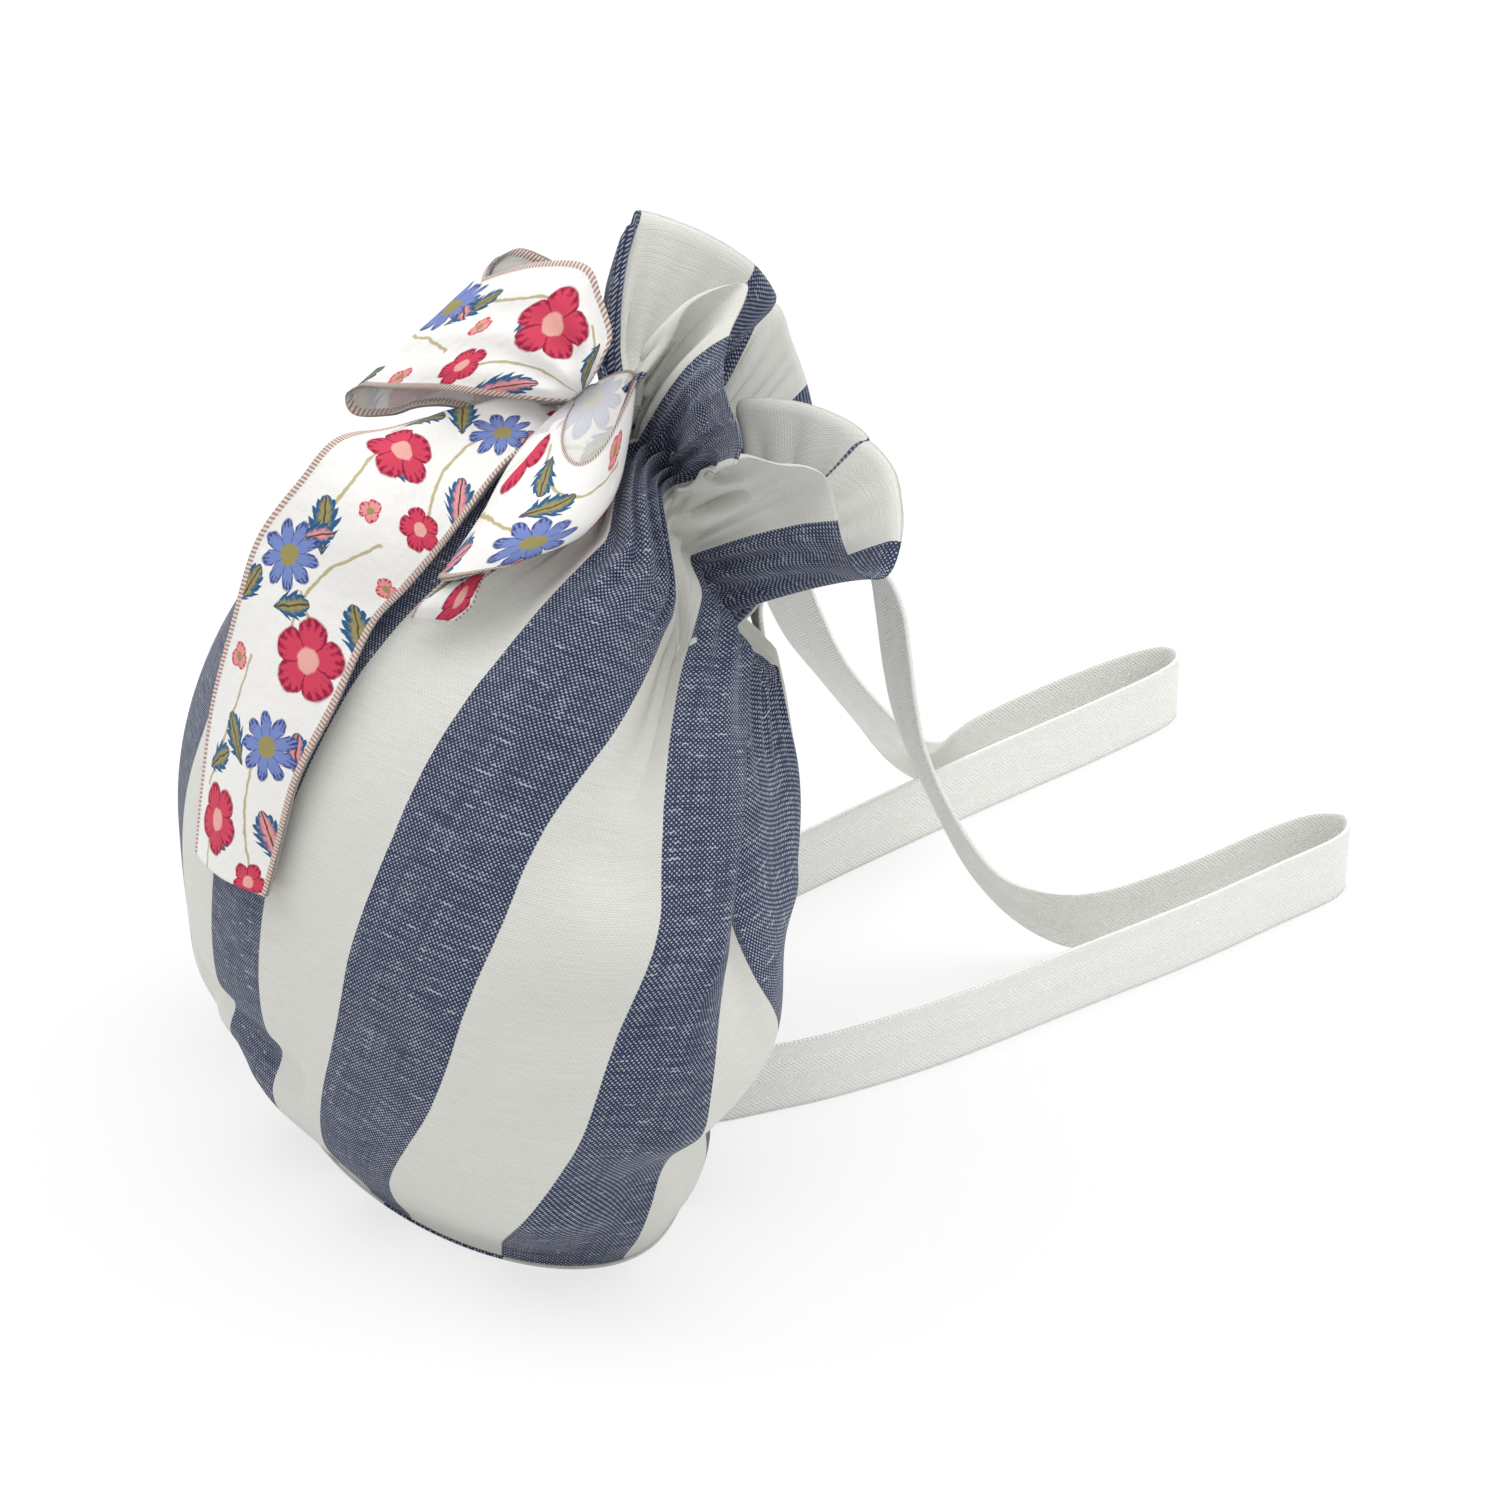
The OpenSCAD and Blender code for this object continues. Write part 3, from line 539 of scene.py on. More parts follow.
def tape_material():
    made, links, bsdf = material("strap_tape")
    m = Maker(made.node_tree)
    x, y = m.uv()
    slope = m.math("ABSOLUTE", m.sub(m.math("FLOORED_MODULO", x, HERRINGBONE), HERRINGBONE / 2))
    twill = m.math("SINE", m.mul(m.add(y, slope), 2 * math.pi / TWILL))
    ribs = m.math("SINE", m.mul(x, 2 * math.pi / RIB))
    fuzz = m.noise(m.mul(x, 900.0), m.mul(y, 300.0), 1.0, 3.0)
    tone = m.math("MULTIPLY_ADD", twill, 0.25, m.mul(fuzz, 0.9), clamp=True)
    links.new(m.mix(tone, TAPE_LOW, TAPE_HIGH), bsdf.inputs["Base Color"])
    relief = m.add(twill, m.add(m.mul(ribs, 0.4), fuzz))
    links.new(m.bump(relief, 0.00018, 0.7), bsdf.inputs["Normal"])
    set_finish(bsdf, 0.9, 0.15)
    return made


# the sash's thread and the stitches of its overlocked edges, in metres
SASH_THREAD, STITCH = 0.0006, 0.0013

# the wrong side of the sash is marked by a place this far across, in metres, and its print is paler
WRONG_SIDE, WRONG_PALENESS = 0.1, 0.7

# the print repeats along the sash: places across and along in millimetres, turn in degrees, sizes
PRINT_REPEAT = 132.0
STEMS = [
    (13, 4, 8, 46, 3.0), (30, 30, -14, 40, -3.5), (12, 62, 4, 44, 3.5), (33, 82, 12, 44, -3.0),
    (22, 110, -30, 22, 2.5)]
LEAVES = [
    (12, 24, -52, 17, 5.0), (17, 34, 48, 15, 4.4), (37, 44, -34, 20, 5.6), (27, 58, 62, 15, 4.2),
    (10, 84, -40, 18, 5.2), (20, 90, 40, 14, 4.2), (38, 104, -38, 19, 5.4), (27, 112, 58, 14, 4.2),
    (40, 14, -20, 14, 4.0), (6, 112, 20, 15, 4.4)]
ROSES = [(17, 56, 10, 11.5), (33, 126, 40, 12.0), (38, 70, 0, 7.0)]
DAISIES = [(33, 24, 0, 11.0), (13, 104, 20, 10.5)]
BUDS = [(8, 8, 15, 4.2), (42, 92, -20, 3.8), (24, 78, 30, 3.6)]


class Print(Maker):
    """Flowers, leaves and stems, each drawn over the colour so far."""

    def begin(self, x, y, ground):
        shake_x = self.mul(self.sub(self.noise(x, y, 260.0), 0.5), 1.4)
        shake_y = self.mul(self.sub(self.noise(self.add(x, 3.0), y, 260.0), 0.5), 1.4)
        self.x = self.add(self.mul(x, 1000.0), shake_x)
        self.y = self.add(self.mul(y, 1000.0), shake_y)
        self.streak = self.noise(x, y, 900.0, 2.0)
        self.color = ground

    def place(self, across, along, turn):
        dx = self.sub(self.x, across)
        dy = self.math("WRAP", self.sub(self.y, along), PRINT_REPEAT / 2, -PRINT_REPEAT / 2)
        c, s = math.cos(math.radians(turn)), math.sin(math.radians(turn))
        return self.add(self.mul(dx, c), self.mul(dy, s)), self.sub(self.mul(dy, c), self.mul(dx, s))

    def paint(self, mask, color):
        self.color = self.mix(mask, self.color, color)

    def stem(self, across, along, turn, length, bend, color):
        x, y = self.place(across, along, turn)
        curve = self.mul(self.math("SINE", self.mul(y, math.pi / length)), bend)
        off = self.math("ABSOLUTE", self.sub(x, curve))
        inside = self.mul(self.step(y, 0.0, 0.6), self.step(y, length, length - 0.6))
        self.paint(self.mul(self.step(off, 0.75, 0.3), inside), color)

    def leaf(self, across, along, turn, length, width, rim, heart):
        x, y = self.place(across, along, turn)
        run = self.math("DIVIDE", y, length, clamp=True)
        swell = self.math("SINE", self.mul(self.math("POWER", run, 0.75), math.pi))
        off = self.math("ABSOLUTE", x)
        teeth = self.math("FLOORED_MODULO", self.add(y, self.mul(off, 0.6)), 3.2)
        edge = self.mul(self.mul(swell, width), self.math("MULTIPLY_ADD", teeth, -0.13, 1.1))
        share = self.math("DIVIDE", off, self.math("MAXIMUM", edge, 0.05))
        inside = self.mul(self.step(share, 1.05, 0.92), self.step(y, 0.0, 0.4))
        inside = self.mul(inside, self.step(y, length, length - 0.4))
        tint = self.mix(self.step(self.add(share, self.mul(self.streak, 0.5)), 0.45, 0.95), heart, rim)
        tint = self.mix(self.step(off, 0.42, 0.2), tint, srgb(92, 74, 60))
        self.paint(inside, tint)

    def flower(self, across, along, turn, radius, petals, notch, rim, face, heart):
        x, y = self.place(across, along, turn)
        rho = self.math("SQRT", self.add(self.mul(x, x), self.mul(y, y)))
        phi = self.math("ARCTAN2", y, x)
        wave = self.math("ABSOLUTE", self.math("COSINE", self.mul(phi, petals / 2)))
        edge = self.mul(self.math("MULTIPLY_ADD", self.math("POWER", wave, 0.6), notch, 1 - notch), radius)
        share = self.math("DIVIDE", rho, edge)
        rays = self.mul(self.math("SINE", self.mul(phi, petals * 5.0)), 0.12)
        depth = self.add(share, self.add(rays, self.mul(self.sub(self.streak, 0.5), 0.5)))
        tint = self.mix(self.step(depth, 0.35, 0.8), face, self.mix(self.step(depth, 0.75, 0.98), face, rim))
        tint = self.mix(self.step(wave, 0.16, 0.04), tint, rim)
        self.paint(self.step(share, 1.04, 0.95), tint)
        self.paint(self.step(self.math("DIVIDE", rho, radius), 0.34, 0.27), heart)


def sash_material():
    made, links, bsdf = material("sash_print")
    m = Print(made.node_tree)
    place, y = m.uv()
    wrong = m.math("GREATER_THAN", place, 0.7 * WRONG_SIDE)
    x = m.sub(place, m.mul(wrong, WRONG_SIDE))
    pitch = 2 * math.pi / SASH_THREAD
    thread = m.mul(m.math("SINE", m.mul(x, pitch)), m.math("SINE", m.mul(y, pitch)))
    ground = m.mix(m.math("MULTIPLY_ADD", thread, 0.5, 0.5), srgb(236, 234, 231), srgb(241, 240, 237))
    m.begin(x, y, ground)
    teal, olive, sand = srgb(40, 92, 134), srgb(156, 146, 92), srgb(188, 176, 138)
    crimson, pink = srgb(196, 46, 78), srgb(226, 150, 152)
    sky, ink = srgb(120, 138, 196), srgb(62, 74, 128)
    for row in STEMS:
        m.stem(*row, sand)
    for number, row in enumerate(LEAVES):
        m.leaf(*row, teal, pink if number % 3 == 2 else olive)
    for row in ROSES:
        m.flower(*row, 5, 0.3, srgb(150, 28, 62), srgb(208, 66, 92), srgb(232, 170, 160))
    for row in DAISIES:
        m.flower(*row, 9, 0.5, ink, sky, olive)
    for row in BUDS:
        m.flower(*row, 3, 0.35, crimson, pink, olive)
    m.paint(m.mul(wrong, WRONG_PALENESS), ground)
    side = m.math("MINIMUM", x, m.sub(SASH_WIDTH * MM, x))
    loops = m.math("SINE", m.add(m.mul(y, 2 * math.pi / STITCH), m.mul(side, 1500.0)))
    thread_color = m.mix(m.step(loops, -0.2, 0.7), srgb(232, 224, 214), srgb(184, 140, 130))
    edging = m.step(side, 0.0021, 0.0017)
    links.new(m.mix(edging, m.color, thread_color), bsdf.inputs["Base Color"])
    crumple = m.mul(m.noise(x, y, 160.0, 3.0), 3.0)
    relief = m.add(m.mul(thread, 0.15), m.add(m.mul(m.mul(edging, loops), 1.2), crumple))
    links.new(m.bump(relief, 0.00025, 0.8), bsdf.inputs["Normal"])
    set_finish(bsdf, 0.75, 0.2)
    return made


stripe_cloth, sash_print, strap_tape = stripe_material(), sash_material(), tape_material()

# the bag's cloth: body rows, frill rows and the facing's rows back down inside
COLUMNS, BODY_ROWS, FRILL_ROWS, CASING_ROWS = 768, 130, 48, 12
FACING_ROWS = FRILL_ROWS + CASING_ROWS
FACING_GAP, CASING_GAP, ROW_CROWDING = 1.7, 5.0, 0.9

# rows left as they are at the frill's foot, rows of the facing's turn, and rows sewn down
STILL_ROWS, TURN_ROWS, SEWN_ROWS = 6, 3, 3

# how often the frill, a calm copy of the cloth and its lengths are evened out sideways
FRILL_EVENING, CALM_EVENING, RUN_EVENING = 6, 60, 150
u_all = np.arange(COLUMNS) * UNITS / COLUMNS
t_rows = np.linspace(0, 1, BODY_ROWS) ** ROW_CROWDING
h_rows = np.linspace(0, 1, FRILL_ROWS + 1)[1:]
outer = np.concatenate([
    body_cloth(u_all[:, None], t_rows), frill_cloth(u_all[:, None], h_rows)], 1)
outer = smooth_rows(outer, FRILL_EVENING, slice(BODY_ROWS + STILL_ROWS, None))

# small pleats of the frill: height, turn in units, fading, and where they are in full
FRILL_PLEAT, PLEAT_TURN, PLEAT_FADE, PLEAT_FULL = 1.7, 0.07, 1.2, 0.12

# folds that spread into the frill: cloth unit at the neck and at their end, reach, width, height
FRILL_FOLDS = [
    (13.98, 14.1, 0.55, 0.1, -4.6), (14.16, 14.35, 0.6, 0.1, 3.6), (14.36, 14.6, 0.5, 0.09, -3.6),
    (14.6, 14.8, 0.55, 0.1, 3.0), (13.6, 13.5, 0.6, 0.12, 2.4), (13.35, 13.2, 0.5, 0.1, -2.4),
    (11.9, 12.1, 0.6, 0.12, 2.0), (11.3, 11.2, 0.5, 0.12, -2.0)]
pleat_share = (1 - h_rows) ** PLEAT_FADE * ease(h_rows, 0.0, PLEAT_FULL)
pleat = FRILL_PLEAT * small_gathers(u_all + PLEAT_TURN)[:, None] * pleat_share
for neck_unit, end_unit, reach, width, height in FRILL_FOLDS:
    far = np.clip(h_rows / reach, 0, 1)
    gap = around(u_all[:, None], neck_unit + (end_unit - neck_unit) * far) / (width * (1 + far))
    pleat = pleat + height * np.exp(-(gap**2)) * np.sin(np.pi * far) ** 0.7
outer[:, BODY_ROWS:] += pleat[..., None] * grid_normals(outer, closed=True)[:, BODY_ROWS:]
calm = smooth_rows(outer.copy(), CALM_EVENING, slice(None))
outward, calm_out = grid_normals(outer, closed=True), grid_normals(calm, closed=True)
steps_down = np.arange(1, FACING_ROWS + 1)
back_down = outer.shape[1] - 1 - steps_down
rounding = np.sqrt(np.clip(steps_down / TURN_ROWS, 0, 1))
sewn_down = ease(steps_down, FACING_ROWS - SEWN_ROWS, FACING_ROWS)
casing = ease(steps_down, 0.6 * FRILL_ROWS, 0.95 * FRILL_ROWS) * (1 - sewn_down)
sewn = 1 - 0.8 * sewn_down
share = casing[None, :, None]
facing_gap = (FACING_GAP * rounding * sewn + CASING_GAP * casing)[None, :, None]
facing = outer[:, back_down] * (1 - share) + calm[:, back_down] * share
facing = facing - facing_gap * unit(outward[:, back_down] * (1 - share) + calm_out[:, back_down] * share)
cloth_grid = np.concatenate([outer, facing], 1)
cloth_run = smooth_rows(run_length(cloth_grid, 1), RUN_EVENING, slice(None))
t_all = np.concatenate([t_rows, np.ones(FRILL_ROWS + FACING_ROWS)])

# where the stripes start on the front and on the back, in units
FRONT_START, BACK_START = 15.02, 0.32

# how far the front's stripes run aside, by cloth unit: towards the base, and at the left side
LOW_DRAW = np.array([[8, 0], [11.81, 0.1], [12.88, 0.95], [13.95, 0.9], [15.02, 0.5], [16, 0.25]])
LEFT_DRAW = np.array([[8, -0.7], [9.67, -0.65], [10.74, -0.4], [11.81, 0], [16, 0]])
low_share = 1 - ease(t_all, 0.0, 0.42)
left_share = ease(t_all, 0.1, 0.3) * (1 - ease(t_all, 0.5, 0.75))


def softened(u, table, spread=0.6):
    """A table read with its corners rounded."""
    shifts = np.linspace(-spread, spread, 13)
    return np.mean([np.interp(u + shift, table[:, 0], table[:, 1]) for shift in shifts], 0)


def panel(name, columns, across):
    grid = cloth_grid[columns]
    uv = np.stack([np.broadcast_to(across, grid.shape[:2]) * UNIT * MM, cloth_run[columns] * MM], -1)
    return open_sheet(name, grid, uv, stripe_cloth)


half_way = COLUMNS // 2
front_columns = np.concatenate([np.arange(half_way, COLUMNS), [0]])
front_units = np.linspace(8, 16, half_way + 1)
front_low = softened(front_units, LOW_DRAW, 0.4)
front_left = softened(front_units, LEFT_DRAW, 0.4)
front_aside = front_low[:, None] * low_share + front_left[:, None] * left_share
front_cloth = panel("front_cloth", front_columns, FRONT_START - front_units[:, None] - front_aside)

# how far the back's stripes run aside, by cloth unit: towards the base, and above that
back_columns = np.arange(half_way + 1)
BACK_DRAW = np.array([[0, 0], [0.8, 0.7], [2, 0.5], [3.4, 0.1], [5, 0], [8, 0]])
SIDE_DRAW = np.array([[0, 0], [1.2, 0], [2.2, 0.5], [3.2, 0.35], [4.6, 0], [8, 0]])
back_units = u_all[back_columns]
back_low = softened(back_units, BACK_DRAW, 0.9)[:, None]
back_share = 1 - ease(t_all, 0.25, 0.68)
back_side = softened(back_units, SIDE_DRAW, 0.4)[:, None] * (1 - back_share)
back_side = back_side * (1 - ease(t_all, 0.93, 1.0))
back_across = back_units[:, None] + BACK_START - back_low * back_share - back_side
back_cloth = panel("back_cloth", back_columns, back_across)

# the oval base, flat on the floor
BASE_RINGS, BASE_MIDDLE, BASE_LEVEL, BASE_HALF = 24, 0.02, 0.5, 0.4
BASE_STRIPES = [0.03, 0.2]
rim_points = outer[:, 0] * [1, 1, 0]
base_grid = np.stack([rim_points * k for k in np.linspace(1.0, BASE_MIDDLE, BASE_RINGS)], 1)
base_grid[..., 2] = BASE_LEVEL
base_grid = np.concatenate([base_grid, base_grid[:1]], 0)
base_uv = base_grid[..., :2] * MM + BASE_STRIPES
base_cloth = solid_sheet("base_cloth", base_grid, base_uv, BASE_HALF, stripe_cloth)


def strip_uv(grid, width):
    across = np.linspace(0, width, grid.shape[1]) * MM
    along = run_length(grid[:, grid.shape[1] // 2], 0) * MM
    return np.stack(np.broadcast_arrays(across[None, :], along[:, None]), -1)


def dense(keys, count):
    return through(np.array(keys, float), np.linspace(0, len(keys) - 1, count))


# the overlocked edge: added half thickness, and where it starts and ends to thin, in millimetres
OVERLOCK, OVERLOCK_FROM, OVERLOCK_TO = 0.5, 0.9, 2.4


def sash_strip(name, grid, start=0.0):
    """A printed strip with thicker overlocked edges; start is where on the print it begins."""
    uv = strip_uv(grid, SASH_WIDTH) + [0, start * MM]
    side = np.minimum(uv[..., 0], SASH_WIDTH * MM - uv[..., 0]) / MM
    half = SASH_CLOTH / 2 + OVERLOCK * (1 - ease(side, OVERLOCK_FROM, OVERLOCK_TO))
    return solid_sheet(name, grid, uv, half, sash_print, uv + [WRONG_SIDE, 0])


# the bow, in millimetres from the knot's root: right, up and forwards as seen from the front right
BOW_X = np.array([0.616, 0.788, 0])
BOW_Y = np.array([-0.418, 0.327, 0.848])
BOW_Z = np.array([0.668, -0.522, 0.530])
KNOT_ROOT = np.array([0.67, 61.23, 232.52])


def bow_space(p):
    return KNOT_ROOT + p[..., :1] * BOW_X + p[..., 1:2] * BOW_Y + p[..., 2:3] * BOW_Z


def even(keys, count):
    """Points at equal steps along a smooth curve through keys."""
    fine = dense(keys, 40 * len(keys))
    run = run_length(fine, 0)
    at = np.linspace(0, run[-1], count)
    return np.stack([np.interp(at, run, fine[:, k]) for k in range(fine.shape[1])], -1)


def between(low, high, across):
    v = np.linspace(0, 1, across)[None, :, None]
    return low[:, None] * (1 - v) + high[:, None] * v


# the upper loop: both edges of its front layer out to the fold, then of its back layer home again
FAN_LOW = [[-14, 7, 16], [-24, 7, 15], [-42, 9, 8], [-56, 11, -1], [-70, 12, -11], [-79, 13, -17]]
FAN_HIGH = [
    [-10, 11, 16], [-5, 20, 17], [-3, 26, 16], [-6, 37, 15], [-10, 46, 12], [-22, 48, 4], [-33, 47, -5],
    [-41, 45, -11]]
BACK_LOW = [
    [-79, 13, -17], [-84, 10, -20], [-82, 5, -23], [-71, 5, -21], [-63, 7, -16], [-54, 7, -9], [-43, 5, -1],
    [-23, 6, 8], [-15, 6, 10]]
BACK_HIGH = [
    [-41, 45, -11], [-39, 50, -13], [-32, 54, -10], [-24, 51, -5], [-19, 47, -2], [-11, 37, 2], [-9, 24, 6],
    [-12, 12, 8]]
FAN_ROWS, FAN_ACROSS, FAN_PUFF = 80, 41, 5.5

# small wrinkles of the loops and the long end: heights and seeds
LOOP_WRINKLE, TAIL_WRINKLE = 0.7, 0.8
UPPER_SEED, LOWER_SEED, TAIL_SEED = 21, 31, 41

# where on the print each strip begins, in millimetres
UPPER_PRINT, LOWER_PRINT, LONG_PRINT, SHORT_PRINT = 34.0, 88.0, 0.0, 60.0

# pleats that spread from the knot: place across the sash, height
FAN_PLEATS = [(0.14, 1.5), (0.3, -1.3), (0.44, 1.8), (0.6, -1.5), (0.76, 1.6), (0.9, -1.0)]
fan_low = np.concatenate([even(FAN_LOW, FAN_ROWS), even(BACK_LOW, FAN_ROWS)[1:]])
fan_high = np.concatenate([even(FAN_HIGH, FAN_ROWS), even(BACK_HIGH, FAN_ROWS)[1:]])
fan = between(fan_low, fan_high, FAN_ACROSS)
fan_s = np.linspace(0, 2, len(fan_low))[:, None]
fan_out = 1 - np.abs(fan_s - 1)
fan_v = np.linspace(0, 1, FAN_ACROSS)
fan_side = np.clip((1 - fan_s) * 9, -1, 1)
fan_swell = np.sin(np.pi * np.clip(fan_out, 0, 0.97) ** 0.8) ** 0.7
fan_puff = fan_side * FAN_PUFF * fan_swell * (4 * fan_v * (1 - fan_v)) ** 0.8
for place, height in FAN_PLEATS:
    ridge = np.exp(-(((fan_v - place) / (0.045 + 0.07 * fan_out)) ** 2))
    fan_puff = fan_puff + height * (1 - 0.7 * fan_out) * ridge * ease(fan_out, 0.02, 0.2)
fan_puff = fan_puff + LOOP_WRINKLE * waves(fan_v * 3, fan_s * 3, UPPER_SEED)
fan[..., 2] += fan_puff
upper_loop = sash_strip("upper_loop", bow_space(fan)[:, ::-1], UPPER_PRINT)

# the lower loop: a flattened tube, by its left, right, near and far lines from its mouth to the far edge
TUBE_LEFT = [[-16, 1, 16], [-23, -4, 18], [-33, -15, 24], [-41, -30, 32], [-52, -47, 37]]
TUBE_RIGHT = [[2, 8, 16], [2, -6, 20], [-1, -21, 26], [-10, -32, 34], [-23, -38, 38]]
TUBE_NEAR = [[-10, -13, 26], [-15, -22, 34], [-21, -30, 41], [-29, -38, 44], [-37, -45, 45]]
TUBE_FAR = [[-1, 15, 10], [-6, 8, 12], [-15, -5, 18], [-25, -21, 28], [-37, -42, 35]]
TUBE_ROWS, TUBE_ACROSS, TUBE_FROM, TUBE_TO = 140, 41, 205, 560
tube_left, tube_right, tube_near, tube_far = (
    dense(keys, TUBE_ACROSS)[None] for keys in (TUBE_LEFT, TUBE_RIGHT, TUBE_NEAR, TUBE_FAR))
tube_turn = np.radians(np.linspace(TUBE_FROM, TUBE_TO, TUBE_ROWS))[:, None, None]
tube = ((tube_left + tube_right + tube_near + tube_far) / 4
        + np.cos(tube_turn) * (tube_right - tube_left) / 2
        + np.sin(tube_turn) * (tube_near - tube_far) / 2
        + np.cos(2 * tube_turn) * (tube_left + tube_right - tube_near - tube_far) / 4)
tube_v = np.linspace(0, 1, TUBE_ACROSS)
tube_wrinkle = LOOP_WRINKLE * waves(3 * tube_turn[..., 0] / np.pi, 4 * tube_v, LOWER_SEED)
tube_grid = bow_space(tube)
tube_grid = tube_grid + tube_wrinkle[..., None] * grid_normals(tube_grid)
lower_loop = sash_strip("lower_loop", tube_grid, LOWER_PRINT)

# the long end, by its left and right edges from the knot down over the shoulder
TAIL_LEFT = [
    [-18, 6, 3], [-37, 6, -5], [-56, 4, -19], [-71, -1, -10], [-84, -5, 14], [-94, -17, 18], [-107, -34, 9],
    [-115, -58, 2], [-123, -82, -10], [-127, -106, -20], [-130, -128, -31]]
TAIL_RIGHT = [
    [-17, 1, 9], [-24, -6, 13], [-33, -13, 15], [-42, -24, 20], [-52, -38, 26], [-62, -50, 27],
    [-72, -61, 26], [-83, -84, 25], [-94, -105, 20], [-100, -123, 14], [-105, -140, 6]]
TAIL_ROWS, TAIL_ACROSS, TAIL_ROOF, ROOF_RIDGE = 170, 41, 8, 0.34
tail_left, tail_right = dense(TAIL_LEFT, TAIL_ROWS), dense(TAIL_RIGHT, TAIL_ROWS)
tail = bow_space(between(tail_left, tail_right, TAIL_ACROSS))
tail_s = np.linspace(0, 1, TAIL_ROWS)[:, None]
tail_v = np.linspace(0, 1, TAIL_ACROSS)
tail_side = bow_space(tail_right) - bow_space(tail_left)
tail_out = unit(np.cross(tail_side, np.gradient(bow_space(tail_left + tail_right) / 2, axis=0)))
tail_out = tail_out * np.sign(tail_out @ BOW_Z)[:, None]
tail_roof = np.minimum(tail_v / ROOF_RIDGE, (1 - tail_v) / (1 - ROOF_RIDGE))
tail_arch = 4 * tail_v * (1 - tail_v)
tail_roofed = ease(tail_s, 0.0, 0.12) * (1 - ease(tail_s, 0.28, 0.44))
tail_puff = TAIL_ROOF * tail_roofed * tail_roof + (1.0 + 3.5 * ease(tail_s, 0.3, 0.5)) * tail_arch
tail_waves = waves(tail_v * 3, tail_s * 9, TAIL_SEED)
tail_puff = tail_puff + TAIL_WRINKLE * tail_waves * ease(tail_s, 0, 0.1)
long_tail = sash_strip("long_tail", tail + tail_puff[..., None] * tail_out[:, None], LONG_PRINT)

# the short end, out from under the lower loop
SHORT_LEFT = [
    [-14, -6, 12], [-22, -18, 21], [-33, -33, 28], [-43, -43, 33], [-52, -50, 36], [-58, -55, 35],
    [-60, -58, 31]]
SHORT_RIGHT = [
    [-10, -8, 14], [-15, -21, 24], [-24, -33, 31], [-32, -42, 35], [-39, -47, 38], [-42, -54, 39],
    [-48, -59, 34]]
SHORT_ROWS, SHORT_ACROSS, SHORT_PUFF = 70, 31, 3.0
short = between(dense(SHORT_LEFT, SHORT_ROWS), dense(SHORT_RIGHT, SHORT_ROWS), SHORT_ACROSS)
short_s = np.linspace(0, 1, SHORT_ROWS)[:, None]
short_v = np.linspace(0, 1, SHORT_ACROSS)
short[..., 2] += SHORT_PUFF * 4 * short_v * (1 - short_v) * short_s
short_tail = sash_strip("short_tail", bow_space(short), SHORT_PRINT)

# the knot, from the neck to under the loops: middle and radius
KNOT_KEYS = [
    [0, 0, 0, 2.4], [-3, 1, 1, 4], [-6, 3, 2, 6], [-10, 4, 3, 7], [-14, 6, 3, 6.6], [-18, 7, 3, 4.6],
    [-20, 8, 3, 1.5], [-20.4, 8, 3, 0.05]]
KNOT_ROWS, KNOT_AROUND, KNOT_PLEAT, KNOT_PLEATS, KNOT_TWIST = 60, 97, 0.07, 9, 0.2
knot_rows = dense(KNOT_KEYS, KNOT_ROWS)
knot_turn = np.linspace(0, 2 * np.pi, KNOT_AROUND)[None, :, None]
knot_pleats = 1 + KNOT_PLEAT * np.sin(KNOT_PLEATS * knot_turn + knot_rows[:, None, :1] * KNOT_TWIST)
knot_across, knot_rise = np.array([0.3, 0.95, 0.0]), np.array([0.1, 0.0, 1.0])
knot_grid = knot_rows[:, None, :3] + knot_rows[:, None, 3:] * knot_pleats * (
    np.cos(knot_turn) * knot_across + np.sin(knot_turn) * knot_rise)
knot_grid = bow_space(knot_grid)
knot = open_sheet("knot", knot_grid, strip_uv(knot_grid, SASH_WIDTH), sash_print)

# the sash folded in three inside its casing: rows below the neck and depth under the cloth
BAND_FOLDS = [(6, 3.7), (1, 3.9), (1, 4.5), (6, 4.5), (6, 5.1), (1, 5.3)]
BAND_STEPS, BAND_COARSE = 9, 4
band_path = np.concatenate([
    np.linspace(start, end, BAND_STEPS) for start, end in zip(BAND_FOLDS[::2], BAND_FOLDS[1::2])])
band_rows = BODY_ROWS - band_path[:, 0].round().astype(int)
band_columns = np.concatenate([np.arange(0, COLUMNS, BAND_COARSE), [0]])
band_pick = np.ix_(band_columns, band_rows)
band_grid = calm[band_pick] - band_path[None, :, 1:] * calm_out[band_pick]
band = open_sheet("sash_in_casing", band_grid, strip_uv(band_grid, SASH_WIDTH), sash_print)

# straps: middle of the tape, its width direction and its share of the full width
EDGE = STRAP_WIDTH / 2 + 0.5


def standing(*places):
    """Keys of a tape that stands on its edge on the floor."""
    return [[x, y, EDGE, 0, 0, 1, 1] for x, y in places]


